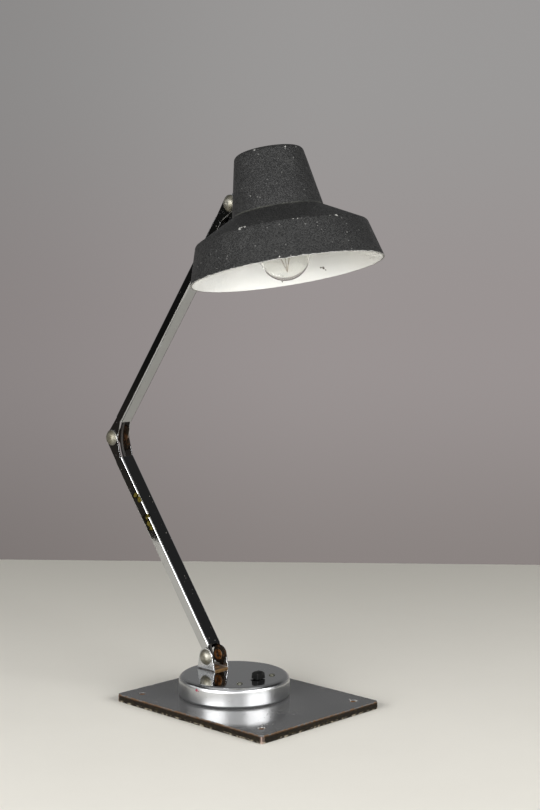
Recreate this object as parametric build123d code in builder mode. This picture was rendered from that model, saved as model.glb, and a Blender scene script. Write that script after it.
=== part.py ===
from build123d import *
import os
from math import cos, hypot, radians, sin, sqrt

# Folding-arm desk lamp, in millimetres. +Z is up, +X is the way the shade looks out,
# and the origin is the middle of the board's underside.

# Board
board_length = 127.0
board_width = 101.6
board_core = 4.0
laminate_sheet = 0.8
board_corner = 2.0
laminate_bevel = 0.3
board_hole_radius = 2.2
board_hole_inset = 11.1

# Drum
drum_radius = 34.5
drum_height = 12.7
drum_wall = 0.8
drum_shoulder = 3.2
drum_curl = 1.6
drum_lip = 1.2
drum_setback = 11.0
floor_sheet = 1.0
floor_clearance = 0.1
drum_screw_radius = 1.6
drum_screw_head = 3.2
drum_screw_head_depth = 1.7
drum_screw_offset = 14.0
drum_screw_tail = 1.5

# Base clevis
clevis_setback = 19.0
clevis_sheet = 1.0
clevis_foot = 15.0
clevis_ear = 5.8
clevis_bend = 1.4
pivot_height = 8.3
eyelet_radius = 2.4
eyelet_bore = 1.7
eyelet_flange = 3.6
eyelet_sheet = 0.5

# Pivot rivets, the same at the base, the elbow and the head
rivet_head = 5.0
rivet_dome = 2.4
rivet_shank = 2.5
rivet_flare = 3.3
rivet_flare_sheet = 0.6
rivet_bore = 1.9
rivet_bore_depth = 2.0
pivot_clearance = 0.06
side_gap = 0.1

# Arms: folded sheet tubes that nest in each other at their ears
arm_wall = 0.6
arm_bend = 1.1
arm_seam = 0.4
arm_ear = 5.2
elbow_inset = 0.9
ear_lap = 3.0
lower_width = 10.7
lower_depth = 7.6
lower_lean = 36.5
lower_reach = 159.2
base_pivot_inset = 5.7
base_ear = 4.4
base_cutback = 5.5
lower_cutback = 15.3
upper_depth = 6.5
upper_lean = 36.4
upper_reach = 187.5
upper_cutback = 14.0

# Shade
shade_tilt = 12.66
rim_radius = 57.8
skirt_height = 22.5
shoulder_radius = 51.4
flare_height = 35.8
crown_base_radius = 27.4
crown_top_radius = 20.4
shade_height = 72.3
shade_wall = 0.8
shoulder_round = 2.5
crown_round = 3.2
neck_round = 1.0
liner_wall = 0.5
liner_gap = 0.1
liner_neck_radius = 11.0
liner_round = 4.0

# Head bracket on the back of the crown
head_pivot_height = 49.9
head_pivot_setback = 33.9
bracket_sheet = 0.8
bracket_ear = 4.2
bracket_foot = 16.0
bracket_rivet_radius = 1.2
bracket_rivet_head = 2.0
bracket_rivet_head_sheet = 0.7
bracket_rivet_spacing = 10.0

# Bulb and its holder
bulb_radius = 15.0
bulb_length = 57.0
bulb_overhang = 4.7
bulb_glass = 0.6
bulb_neck_radius = 7.0
bulb_neck_lap = 4.0
cap_radius = 7.6
cap_length = 17.0
cap_wall = 0.4
cap_contact_radius = 2.5
cap_contact_length = 1.0
pin_radius = 1.0
pin_stand = 0.6
pin_from_mouth = 6.0
stem_radius = 2.6
stem_tip_radius = 1.6
stem_tip_height = 21.0
filament_top = 12.0
filament_half = 4.9
filament_foot = 0.6
filament_wire = 0.3
socket_fit = 0.15
socket_wall = 0.6
socket_mouth_gap = 0.3
socket_lip = 1.0
insulator_sheet = 2.0
insulator_clearance = 0.05
contact_head_radius = 2.0
contact_head_sheet = 0.8
contact_tail_radius = 1.0
contact_tail_length = 11.6
strap_drop = 9.9
strap_sheet = 0.8
strap_width = 6.0
strap_ring = 3.0

# Slide switch
switch_setforward = 19.0
switch_slot_clearance = 0.3
switch_rivet_spacing = 28.0
switch_rivet_radius = 1.2
switch_rivet_head = 2.1
switch_rivet_dome = 0.9
switch_flange_width = 12.0
switch_flange_length = 34.0
switch_flange_sheet = 0.8
switch_case_length = 22.0
switch_case_height = 7.0
switch_pocket_depth = 4.0
switch_pocket_clearance = 0.2
knob_width = 5.6
knob_length = 6.6
knob_height = 4.4
knob_gap = 0.3
knob_taper = 4.0
knob_bevel = 0.9
knob_stem = 3.0
knob_travel = 4.0
knob_tail_gap = 0.4
terminal_width = 3.0
terminal_sheet = 0.6
terminal_length = 1.6
terminal_spacing = 8.0

# Cord inlet
bushing_height = 6.0
bushing_bore = 2.3
bushing_neck = 3.2
bushing_flange = 4.1
bushing_flange_sheet = 1.2

# Lead through the arms
lead_radius = 1.1
lead_hole = 1.6
lead_bend = 9.0
lead_socket_bend = 5.0
lead_drum_drop = 5.0
lead_lap = 7.0
lead_head_bend = 7.0
lead_riser_setback = 13.0
lead_tail_drop = 2.2

# Heights and places that follow from the sizes above
board_top = board_core + laminate_sheet
drum_top = board_top + drum_height
drum_ceiling = drum_top - drum_wall
floor_bottom = board_top + drum_wall
drum_x = -drum_setback
clevis_x = drum_x - clevis_setback
switch_x = drum_x + switch_setforward
knob_rest = knob_travel / 2
knob_run = knob_stem + knob_travel
base_pivot = Vector(clevis_x, 0, drum_top + pivot_height)
upper_width = lower_width - 2 * arm_wall - 2 * side_gap
bracket_width = upper_width - 2 * arm_wall - 2 * side_gap
clevis_gap = lower_width + 2 * side_gap
clevis_width = clevis_gap + 2 * clevis_sheet
y_axis = Vector(0, 1, 0)

# Each arm has its own plane: x runs along the arm, y out of its front face, z along +Y.
lower_along = Vector(-sin(radians(lower_lean)), 0, cos(radians(lower_lean)))
lower_front = y_axis.cross(lower_along)
upper_along = Vector(sin(radians(upper_lean)), 0, cos(radians(upper_lean)))
upper_front = y_axis.cross(upper_along)
lower_origin = base_pivot + lower_front * base_pivot_inset
elbow_pivot = lower_origin + lower_along * lower_reach - lower_front * elbow_inset
upper_origin = elbow_pivot + upper_front * elbow_inset
head_pivot = elbow_pivot + upper_along * upper_reach
lower_plane = Plane(origin=lower_origin, x_dir=lower_along, z_dir=y_axis)
upper_plane = Plane(origin=upper_origin, x_dir=upper_along, z_dir=y_axis)

# The head has a plane through the shade's axis: x runs to the front, y up the axis.
shade_up = Vector(-sin(radians(shade_tilt)), 0, cos(radians(shade_tilt)))
shade_forward = Vector(cos(radians(shade_tilt)), 0, sin(radians(shade_tilt)))
rim_centre = head_pivot + shade_forward * head_pivot_setback - shade_up * head_pivot_height
head_plane = Plane(origin=rim_centre, x_dir=shade_forward, z_dir=-y_axis)
shade_axis = Axis(rim_centre, shade_up)

# The crown's wall at the back: its slope and the place of the bracket's middle on it
crown_rise = shade_height - flare_height
crown_run = crown_base_radius - crown_top_radius
crown_slope = crown_run / crown_rise
crown_length = hypot(crown_rise, crown_run)
wall_cos = crown_rise / crown_length
wall_sin = crown_run / crown_length


def crown_radius(height):
    """Outer radius of the crown at a height above the rim."""
    return crown_base_radius - (height - flare_height) * crown_slope


def head_point(setback, height):
    """Point in the middle plane, by its setback behind the shade's axis and its height above the rim."""
    return rim_centre - shade_forward * setback + shade_up * height


def rear_wall_plane(height):
    """Plane on the outside of the crown's rear wall, facing out of it."""
    outward = shade_up * wall_sin - shade_forward * wall_cos
    return Plane(origin=head_point(crown_radius(height), height), x_dir=y_axis, z_dir=outward)


os.makedirs("parts", exist_ok=True)


def save(piece, label):
    piece.part.label = label
    export_step(piece.part, f"parts/{label}.step")


# Board and laminate
hole_spacing_x = board_length - 2 * board_hole_inset
hole_spacing_y = board_width - 2 * board_hole_inset
screw_places = [(drum_x, -drum_screw_offset), (drum_x, drum_screw_offset)]

with BuildPart() as base_board:
    with BuildSketch():
        RectangleRounded(board_length, board_width, board_corner)
        with GridLocations(hole_spacing_x, hole_spacing_y, 2, 2):
            Circle(board_hole_radius, mode=Mode.SUBTRACT)
        with Locations(*screw_places):
            Circle(drum_screw_radius, mode=Mode.SUBTRACT)
    extrude(amount=board_core)
    with BuildSketch():
        with Locations(*screw_places):
            Circle(drum_screw_head)
    extrude(amount=drum_screw_head_depth, mode=Mode.SUBTRACT)
save(base_board, "base_board")

with BuildPart() as board_laminate:
    with BuildSketch(Plane.XY.offset(board_core)):
        RectangleRounded(board_length, board_width, board_corner)
    extrude(amount=laminate_sheet)
    chamfer(board_laminate.faces().sort_by(Axis.Z)[-1].edges(), laminate_bevel)
    with BuildSketch(Plane.XY.offset(board_core)):
        with GridLocations(hole_spacing_x, hole_spacing_y, 2, 2):
            Circle(board_hole_radius)
        with Locations(*screw_places):
            Circle(drum_screw_radius)
    extrude(amount=laminate_sheet, mode=Mode.SUBTRACT)
save(board_laminate, "board_laminate")

# Drum: a spun cap with a rounded shoulder and a lower edge curled in under its floor
drum_plane = Plane(origin=(drum_x, 0, board_top), x_dir=(1, 0, 0), z_dir=(0, -1, 0))
drum_axis = Axis((drum_x, 0, 0), (0, 0, 1))
drum_inner = drum_radius - drum_wall
curl_centre = drum_radius - drum_curl
shoulder_centre = drum_radius - drum_shoulder

with BuildPart() as base_drum:
    with BuildSketch(drum_plane):
        with BuildLine():
            top = Line((0, drum_height), (shoulder_centre, drum_height))
            shoulder = RadiusArc(top @ 1, (drum_radius, drum_height - drum_shoulder), drum_shoulder)
            wall = Line(shoulder @ 1, (drum_radius, drum_curl))
            curl = RadiusArc(wall @ 1, (curl_centre, 0), drum_curl)
            lip = Polyline(curl @ 1, (curl_centre - drum_lip, 0), (curl_centre - drum_lip, drum_wall),
                           (curl_centre, drum_wall))
            inner_curl = RadiusArc(lip @ 1, (drum_inner, drum_curl), -(drum_curl - drum_wall))
            inner_wall = Line(inner_curl @ 1, (drum_inner, drum_height - drum_shoulder))
            inner_shoulder = RadiusArc(inner_wall @ 1, (shoulder_centre, drum_height - drum_wall),
                                       -(drum_shoulder - drum_wall))
            Polyline(inner_shoulder @ 1, (0, drum_height - drum_wall), (0, drum_height))
        make_face()
    revolve(axis=drum_axis)
    with BuildSketch(Plane.XY.offset(drum_ceiling)):
        with Locations((switch_x, 0)):
            Rectangle(knob_stem + 2 * switch_slot_clearance, knob_run + 2 * switch_slot_clearance)
            with GridLocations(0, switch_rivet_spacing, 1, 2):
                Circle(switch_rivet_radius)
        with Locations((clevis_x, 0)):
            Circle(eyelet_radius)
    extrude(amount=drum_wall, mode=Mode.SUBTRACT)
    with BuildSketch(Plane(origin=(drum_x, 0, board_top + bushing_height), z_dir=(-1, 0, 0))):
        Circle(bushing_neck)
    extrude(amount=drum_radius, mode=Mode.SUBTRACT)
save(base_drum, "base_drum")

floor_radius = curl_centre - floor_clearance
with BuildPart() as drum_floor:
    with BuildSketch(Plane.XY.offset(floor_bottom)):
        with Locations((drum_x, 0)):
            Circle(floor_radius)
        with Locations(*screw_places):
            Circle(drum_screw_radius, mode=Mode.SUBTRACT)
    extrude(amount=floor_sheet)
save(drum_floor, "drum_floor")

with BuildPart() as drum_screws:
    with BuildSketch():
        with Locations(*screw_places):
            Circle(drum_screw_head)
    extrude(amount=drum_screw_head_depth)
    with BuildSketch():
        with Locations(*screw_places):
            Circle(drum_screw_radius)
    extrude(amount=floor_bottom + floor_sheet + drum_screw_tail)
save(drum_screws, "drum_screws")

# Base clevis: two ears bent up from one sheet, held to the drum by a tubular rivet
clevis_plane = Plane(origin=(clevis_x, 0, drum_top), x_dir=(1, 0, 0), z_dir=(0, -1, 0))

with BuildPart() as base_clevis:
    with BuildSketch(clevis_plane):
        with BuildLine():
            CenterArc((0, pivot_height), clevis_ear, 0, 360)
            Line((-clevis_foot / 2, 0), (clevis_foot / 2, 0))
            Line((-clevis_foot / 2, clevis_sheet), (clevis_foot / 2, clevis_sheet))
        make_hull()
    extrude(amount=clevis_width / 2, both=True)
    foot_edges = base_clevis.edges().filter_by(Axis.X).group_by(Axis.Z)[0]
    fillet(foot_edges, clevis_bend)
    with BuildSketch(clevis_plane):
        with Locations((0, clevis_sheet)):
            Rectangle(clevis_foot, pivot_height + clevis_ear, align=(Align.CENTER, Align.MIN))
    extrude(amount=clevis_gap / 2, both=True, mode=Mode.SUBTRACT)
    with BuildSketch(clevis_plane):
        with Locations((0, pivot_height)):
            Circle(rivet_shank)
    extrude(amount=clevis_width / 2, both=True, mode=Mode.SUBTRACT)
    with BuildSketch(Plane.XY.offset(drum_top)):
        with Locations((clevis_x, 0)):
            Circle(eyelet_radius)
    extrude(amount=clevis_sheet, mode=Mode.SUBTRACT)
save(base_clevis, "base_clevis")

eyelet_low = drum_ceiling - eyelet_sheet
eyelet_high = drum_top + clevis_sheet + eyelet_sheet
with BuildPart() as clevis_eyelet:
    for height, radius, length in (
        (eyelet_low, eyelet_flange, eyelet_sheet),
        (eyelet_low, eyelet_radius, eyelet_high - eyelet_low),
        (eyelet_high - eyelet_sheet, eyelet_flange, eyelet_sheet),
    ):
        with BuildSketch(Plane.XY.offset(height)):
            with Locations((clevis_x, 0)):
                Circle(radius)
        extrude(amount=length)
    with BuildSketch(Plane.XY.offset(eyelet_low)):
        with Locations((clevis_x, 0)):
            Circle(eyelet_bore)
    extrude(amount=eyelet_high - eyelet_low, mode=Mode.SUBTRACT)
save(clevis_eyelet, "clevis_eyelet")


# Pivot rivets: a dome outside the fixed ear, a shank through both ears, a flared end inside
def pivot_rivets(pivot, outer_half, inner_half, label):
    flare_face = inner_half - pivot_clearance
    tail = flare_face - rivet_flare_sheet
    dome_top = outer_half + rivet_dome
    side_plane = Plane(origin=pivot, x_dir=(1, 0, 0), z_dir=(0, 0, 1))
    with BuildPart() as rivets:
        with BuildSketch(side_plane):
            with BuildLine():
                dome = ThreePointArc(
                    (0, dome_top),
                    (rivet_head * sin(radians(45)), outer_half + rivet_dome * cos(radians(45))),
                    (rivet_head, outer_half),
                )
                Polyline(dome @ 1, (rivet_shank, outer_half), (rivet_shank, flare_face),
                         (rivet_flare, flare_face), (rivet_flare, tail), (rivet_bore, tail),
                         (rivet_bore, tail + rivet_bore_depth), (0, tail + rivet_bore_depth), (0, dome_top))
            make_face()
        revolve(axis=Axis(pivot, y_axis))
        mirror(about=Plane.XZ)
    save(rivets, label)


lower_inner_half = lower_width / 2 - arm_wall
upper_inner_half = upper_width / 2 - arm_wall
bracket_inner_half = bracket_width / 2 - bracket_sheet
pivot_rivets(base_pivot, clevis_width / 2, lower_inner_half, "base_pivot_rivets")
pivot_rivets(elbow_pivot, lower_width / 2, upper_inner_half, "elbow_rivets")
pivot_rivets(head_pivot, upper_width / 2, bracket_inner_half, "head_rivets")


# Arms: a folded tube between two pairs of ears, each pair rounded about its pivot
def folded_arm(plane, width, depth, near_end, far_end, ears, label):
    """Tube from near_end to far_end along the plane's x, with its front face at y = 0.

    Each ear is a pivot's place along and out of the front face, its radius and its hole.
    """
    half = width / 2
    section = Plane(origin=plane.from_local_coords((near_end, -depth / 2, 0)), x_dir=plane.y_dir, z_dir=plane.x_dir)
    with BuildPart() as arm:
        with BuildSketch(section):
            RectangleRounded(depth, width, arm_bend)
            RectangleRounded(depth - 2 * arm_wall, width - 2 * arm_wall, arm_bend - arm_wall, mode=Mode.SUBTRACT)
            with Locations((-(depth - arm_wall) / 2, 0)):
                Rectangle(2 * arm_wall, arm_seam, mode=Mode.SUBTRACT)
        extrude(amount=far_end - near_end)
        for along, out, radius, hole in ears:
            tube_end = near_end if along < near_end else far_end
            lap_end = tube_end + ear_lap if along < near_end else tube_end - ear_lap
            for side in (-1, 1):
                ear_plane = plane.offset(side * half)
                with BuildSketch(ear_plane):
                    with BuildLine():
                        CenterArc((along, out), radius, 0, 360)
                        Line((tube_end, -depth + arm_bend), (tube_end, -arm_bend))
                    make_hull()
                    with BuildLine():
                        Polyline((tube_end, -depth + arm_bend), (tube_end, -arm_bend), (lap_end, -arm_bend),
                                 (lap_end, -depth + arm_bend), close=True)
                    make_face()
                    with Locations((along, out)):
                        Circle(hole, mode=Mode.SUBTRACT)
                extrude(amount=-side * arm_wall)
    save(arm, label)


running_hole = rivet_shank + pivot_clearance
folded_arm(
    lower_plane, lower_width, lower_depth, base_cutback, lower_reach - lower_cutback,
    [(0, -base_pivot_inset, base_ear, running_hole), (lower_reach, -elbow_inset, arm_ear, rivet_shank)],
    "lower_arm",
)
folded_arm(
    upper_plane, upper_width, upper_depth, upper_cutback, upper_reach - upper_cutback,
    [(0, -elbow_inset, arm_ear, running_hole), (upper_reach, -elbow_inset, arm_ear, rivet_shank)],
    "upper_arm",
)

# Shade: a spun shell with a skirt, a flare and a crown, and a white liner inside its lower part
def shade_corners(inset):
    """Rim, shoulder, neck and top corners of the surface that lies inset within the shade's outside."""
    outline = [(rim_radius, 0), (shoulder_radius, skirt_height), (crown_base_radius, flare_height),
               (crown_top_radius, shade_height), (0, shade_height)]
    lines = []
    for (r0, h0), (r1, h1) in zip(outline, outline[1:]):
        length = hypot(r1 - r0, h1 - h0)
        lines.append(((r1 - r0) / length, (h1 - h0) / length, r0 - inset * (h1 - h0) / length,
                      h0 + inset * (r1 - r0) / length))
    dr, dh, r0, h0 = lines[0]
    corners = [(r0 - dr * h0 / dh, 0)]
    for (dr, dh, r0, h0), (er, eh, s0, k0) in zip(lines, lines[1:]):
        along = ((s0 - r0) * eh - (k0 - h0) * er) / (dr * eh - dh * er)
        corners.append((r0 + dr * along, h0 + dh * along))
    return corners


def shade_path(inset, grow):
    """Rounded half outline of the shade from its rim to the middle of its top."""
    corners = shade_corners(inset)
    rounds = [shoulder_round - inset, neck_round + grow, crown_round - inset]
    return FilletPolyline(*corners, (0, corners[-1][1]), radius=rounds)


with BuildPart() as shade_shell:
    with BuildSketch(head_plane):
        with BuildLine():
            outside = shade_path(0, 0)
            inside = shade_path(shade_wall, shade_wall)
            Line(outside @ 0, inside @ 0)
            Line(outside @ 1, inside @ 1)
        make_face()
    revolve(axis=shade_axis)
    for place in (-1, 0, 1):
        with BuildSketch(rear_wall_plane(head_pivot_height + place * bracket_rivet_spacing / 2)):
            Circle(bracket_rivet_radius if place else lead_hole)
        extrude(amount=crown_base_radius / 2, both=True, mode=Mode.SUBTRACT)
save(shade_shell, "shade_shell")

with BuildPart() as shade_reflector:
    with BuildSketch(head_plane):
        with BuildLine():
            liner_ends = []
            for inset in (shade_wall + liner_gap, shade_wall + liner_gap + liner_wall):
                rim_corner, shoulder_corner, neck_corner = shade_corners(inset)[:3]
                path = FilletPolyline(rim_corner, shoulder_corner, neck_corner, (liner_neck_radius, neck_corner[1]),
                                      radius=[shoulder_round - inset, liner_round - inset])
                liner_ends.append(path)
            Line(liner_ends[0] @ 0, liner_ends[1] @ 0)
            Line(liner_ends[0] @ 1, liner_ends[1] @ 1)
        make_face()
    revolve(axis=shade_axis)
save(shade_reflector, "shade_reflector")


# Head bracket: two ears bent from one sheet, with a foot that follows the crown's rear wall
def crown_outline(inset):
    """Half outline of the crown, inset from its outside, to shape what seats on the wall."""
    neck_corner, top_corner = shade_corners(inset)[2:4]
    return [(0, neck_corner[1]), neck_corner, top_corner, (0, top_corner[1])]


foot_half = bracket_foot / 2
foot_low = head_pivot_height - foot_half * wall_cos
foot_high = head_pivot_height + foot_half * wall_cos
foot_line = [(-crown_radius(foot_low), foot_low), (-crown_radius(foot_high), foot_high)]
foot_sag = crown_radius(foot_high) - sqrt(crown_radius(foot_high) ** 2 - (bracket_width / 2) ** 2)

with BuildPart() as head_bracket:
    with BuildSketch(head_plane):
        with BuildLine():
            CenterArc((-head_pivot_setback, head_pivot_height), bracket_ear, 0, 360)
            Line(*foot_line)
            Line(*[(r + 2 * foot_sag, h) for r, h in foot_line])
        make_hull()
    extrude(amount=bracket_width / 2, both=True)
    wall_middle = rear_wall_plane(head_pivot_height)
    with BuildSketch(wall_middle.offset(bracket_sheet)):
        Rectangle(2 * bracket_inner_half, 2 * bracket_foot)
    extrude(amount=head_pivot_setback, mode=Mode.SUBTRACT)
    with BuildSketch(head_plane):
        with BuildLine():
            shade_outside = shade_path(0, 0)
            Polyline(shade_outside @ 1, (0, 0), shade_outside @ 0)
        make_face()
    revolve(axis=shade_axis, mode=Mode.SUBTRACT)
    with BuildSketch(head_plane):
        with Locations((-head_pivot_setback, head_pivot_height)):
            Circle(running_hole)
    extrude(amount=bracket_width / 2, both=True, mode=Mode.SUBTRACT)
    for place in (-1, 0, 1):
        with BuildSketch(rear_wall_plane(head_pivot_height + place * bracket_rivet_spacing / 2)):
            Circle(bracket_rivet_radius if place else lead_hole)
        extrude(amount=2 * bracket_sheet, both=True, mode=Mode.SUBTRACT)
save(head_bracket, "head_bracket")

with BuildPart() as bracket_rivets:
    for place in (-1, 1):
        wall = rear_wall_plane(head_pivot_height + place * bracket_rivet_spacing / 2)
        inner_face = -(shade_wall + strap_sheet)
        for start, radius, length in (
            (inner_face - bracket_rivet_head_sheet, bracket_rivet_head, bracket_rivet_head_sheet),
            (inner_face, bracket_rivet_radius, bracket_sheet - inner_face),
            (bracket_sheet, bracket_rivet_head, bracket_rivet_head_sheet),
        ):
            with BuildSketch(wall.offset(start)):
                Circle(radius)
            extrude(amount=length)
save(bracket_rivets, "bracket_rivets")

# Socket strap: a tab on the crown's rear wall, bent in to a ring round the bulb holder
socket_inner = cap_radius + socket_fit
socket_outer = socket_inner + socket_wall
strap_height = head_pivot_height - strap_drop
strap_level = Plane(origin=head_point(0, strap_height), x_dir=shade_forward, z_dir=shade_up)
tab_height = foot_high - strap_height
tab_wall = rear_wall_plane(strap_height + tab_height / 2)

with BuildPart() as socket_strap:
    with BuildSketch(strap_level):
        Circle(socket_outer + strap_ring)
        with Locations((-crown_radius(strap_height) / 2, 0)):
            Rectangle(crown_radius(strap_height), strap_width)
        Circle(socket_outer, mode=Mode.SUBTRACT)
    extrude(amount=strap_sheet)
    with BuildSketch(tab_wall.offset(-shade_wall - strap_sheet)):
        Rectangle(strap_width, tab_height / wall_cos)
    extrude(amount=strap_sheet + shade_wall)
    with BuildSketch(head_plane):
        with BuildLine():
            Polyline(*crown_outline(shade_wall), close=True)
        make_face()
    revolve(axis=shade_axis, mode=Mode.INTERSECT)
    for place in (-1, 0, 1):
        with BuildSketch(rear_wall_plane(head_pivot_height + place * bracket_rivet_spacing / 2)):
            Circle(bracket_rivet_radius if place else lead_hole)
        extrude(amount=-2 * (shade_wall + strap_sheet), mode=Mode.SUBTRACT)
save(socket_strap, "socket_strap")

# Bulb holder: a bayonet sleeve with two slots, an insulator and a centre contact
bulb_centre = bulb_radius - bulb_overhang
contact_face = bulb_length - bulb_overhang
cap_top = contact_face - cap_contact_length
cap_mouth = cap_top - cap_length
pin_height = cap_mouth + pin_from_mouth
insulator_level = contact_face + contact_head_sheet
socket_mouth = cap_mouth + socket_mouth_gap
socket_end = insulator_level + insulator_sheet + socket_lip

with BuildPart() as lamp_socket:
    with BuildSketch(Plane(origin=head_point(0, socket_mouth), x_dir=shade_forward, z_dir=shade_up)):
        Circle(socket_outer)
        Circle(socket_inner, mode=Mode.SUBTRACT)
    extrude(amount=socket_end - socket_mouth)
    with BuildSketch(head_plane):
        slot_width = 2 * (pin_radius + socket_fit)
        with Locations((0, socket_mouth)):
            Rectangle(slot_width, pin_height - socket_mouth, align=(Align.CENTER, Align.MIN))
        with Locations((0, pin_height)):
            Circle(slot_width / 2)
    extrude(amount=socket_outer, both=True, mode=Mode.SUBTRACT)
save(lamp_socket, "lamp_socket")

with BuildPart() as socket_insulator:
    with BuildSketch(Plane(origin=head_point(0, insulator_level), x_dir=shade_forward, z_dir=shade_up)):
        Circle(socket_inner - insulator_clearance)
        Circle(contact_tail_radius + insulator_clearance, mode=Mode.SUBTRACT)
    extrude(amount=insulator_sheet)
save(socket_insulator, "socket_insulator")

with BuildPart() as socket_contact:
    contact_plane = Plane(origin=head_point(0, contact_face), x_dir=shade_forward, z_dir=shade_up)
    with BuildSketch(contact_plane):
        Circle(contact_head_radius)
    extrude(amount=contact_head_sheet)
    with BuildSketch(contact_plane):
        Circle(contact_tail_radius)
    extrude(amount=contact_tail_length)
save(socket_contact, "socket_contact")

# Bulb: a bayonet cap, a blown globe with a neck, a glass stem and the filament with its wires
neck_top = cap_mouth + bulb_neck_lap

with BuildPart() as bulb_cap:
    with BuildSketch(head_plane):
        with BuildLine():
            Polyline((cap_radius - cap_wall, cap_mouth), (cap_radius, cap_mouth), (cap_radius, cap_top),
                     (cap_contact_radius, cap_top), (cap_contact_radius, contact_face), (0, contact_face),
                     (0, neck_top), (cap_radius - cap_wall, neck_top), close=True)
        make_face()
    revolve(axis=shade_axis)
    with BuildSketch(head_plane):
        with Locations((0, pin_height)):
            Circle(pin_radius)
    extrude(amount=cap_radius + pin_stand, both=True)
save(bulb_cap, "bulb_cap")


def globe_path(shrink):
    """Half outline of the globe from its tip to the end of its neck."""
    radius = bulb_radius - shrink
    neck = bulb_neck_radius - shrink
    shoulder = bulb_centre + sqrt(radius ** 2 - neck ** 2)
    tip = (0, bulb_centre - radius)
    round_part = ThreePointArc(tip, (radius, bulb_centre), (neck, shoulder))
    straight = Line(round_part @ 1, (neck, neck_top))
    return round_part, straight


with BuildPart() as bulb_globe:
    with BuildSketch(head_plane):
        with BuildLine():
            outer_ball, outer_neck = globe_path(0)
            inner_ball, inner_neck = globe_path(bulb_glass)
            Line(outer_ball @ 0, inner_ball @ 0)
            Line(outer_neck @ 1, inner_neck @ 1)
        make_face()
    revolve(axis=shade_axis)
save(bulb_globe, "bulb_globe")

with BuildPart() as bulb_stem:
    with BuildSketch(head_plane):
        with BuildLine():
            Polyline((0, neck_top), (stem_radius, neck_top), (stem_tip_radius, stem_tip_height), (0, stem_tip_height),
                     close=True)
        make_face()
    revolve(axis=shade_axis)
save(bulb_stem, "bulb_stem")

with BuildPart() as bulb_filament:
    wire_top = stem_tip_height - filament_wire
    hang = head_point(0, filament_foot)
    runs = [(head_point(0, wire_top), hang)]
    for side in (-1, 1):
        hook = head_point(side * filament_half, filament_top)
        runs.append((head_point(side * stem_tip_radius / 2, wire_top), hook))
        runs.append((hook, hang))
    for start, end in runs:
        with BuildSketch(Plane(origin=start, z_dir=end - start)):
            Circle(filament_wire)
        extrude(amount=(end - start).length)
save(bulb_filament, "bulb_filament")

# Slide switch: a case under the drum's top, its terminals, two rivets and the knob
flange_bottom = drum_ceiling - switch_flange_sheet
case_bottom = flange_bottom - switch_case_height
pocket_bottom = flange_bottom - switch_pocket_depth

with BuildPart() as switch_body:
    with BuildSketch(Plane.XY.offset(flange_bottom)):
        with Locations((switch_x, 0)):
            Rectangle(switch_flange_width, switch_flange_length)
            with GridLocations(0, switch_rivet_spacing, 1, 2):
                Circle(switch_rivet_radius, mode=Mode.SUBTRACT)
    extrude(amount=switch_flange_sheet)
    with BuildSketch(Plane.XY.offset(case_bottom)):
        with Locations((switch_x, 0)):
            Rectangle(switch_flange_width, switch_case_length)
    extrude(amount=switch_case_height)
    with BuildSketch(Plane.XY.offset(pocket_bottom)):
        with Locations((switch_x, 0)):
            Rectangle(knob_stem + 2 * switch_pocket_clearance, knob_run + 2 * switch_pocket_clearance)
    extrude(amount=drum_ceiling - pocket_bottom, mode=Mode.SUBTRACT)
save(switch_body, "switch_body")

with BuildPart() as switch_terminals:
    with BuildSketch(Plane.XY.offset(case_bottom)):
        with Locations((switch_x, 0)):
            with GridLocations(0, terminal_spacing, 1, 2):
                Rectangle(terminal_width, terminal_sheet)
    extrude(amount=-terminal_length)
save(switch_terminals, "switch_terminals")

with BuildPart() as switch_rivets:
    for side in (-1, 1):
        place = (switch_x, side * switch_rivet_spacing / 2)
        with BuildSketch(Plane.XY.offset(flange_bottom)):
            with Locations(place):
                Circle(switch_rivet_radius)
        extrude(amount=drum_top - flange_bottom)
        with BuildSketch(Plane(origin=(*place, drum_top), x_dir=(1, 0, 0), z_dir=(0, -1, 0))):
            with BuildLine():
                dome = ThreePointArc(
                    (0, switch_rivet_dome),
                    (switch_rivet_head * sin(radians(45)), switch_rivet_dome * cos(radians(45))),
                    (switch_rivet_head, 0),
                )
                Polyline(dome @ 1, (0, 0), dome @ 0)
            make_face()
        revolve(axis=Axis((*place, 0), (0, 0, 1)))
save(switch_rivets, "switch_rivets")

with BuildPart() as switch_knob:
    with BuildSketch(Plane.XY.offset(drum_top + knob_gap)):
        with Locations((switch_x, knob_rest)):
            Rectangle(knob_width, knob_length)
    extrude(amount=knob_height, taper=knob_taper)
    chamfer(switch_knob.faces().sort_by(Axis.Z)[-1].edges(), knob_bevel)
    with BuildSketch(Plane.XY.offset(pocket_bottom + knob_tail_gap)):
        with Locations((switch_x, knob_rest)):
            Rectangle(knob_stem, knob_stem)
    extrude(amount=drum_top + knob_gap - pocket_bottom - knob_tail_gap)
save(switch_knob, "switch_knob")

# Cord inlet: a spool-shaped bushing in the drum's rear wall
bushing_seat = drum_x - drum_radius
bushing_sag = drum_radius - sqrt(drum_radius ** 2 - bushing_flange ** 2)
bushing_grip = drum_wall + bushing_sag
bushing_plane = Plane(origin=(bushing_seat, 0, board_top + bushing_height), z_dir=(1, 0, 0))

with BuildPart() as cord_bushing:
    for start, radius, length in (
        (-bushing_flange_sheet, bushing_flange, bushing_flange_sheet),
        (0, bushing_neck, bushing_grip),
        (bushing_grip, bushing_flange, bushing_flange_sheet),
    ):
        with BuildSketch(bushing_plane.offset(start)):
            Circle(radius)
        extrude(amount=length)
    with BuildSketch(bushing_plane.offset(-bushing_flange_sheet)):
        Circle(bushing_bore)
    extrude(amount=bushing_grip + 2 * bushing_flange_sheet, mode=Mode.SUBTRACT)
save(cord_bushing, "cord_bushing")


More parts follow.
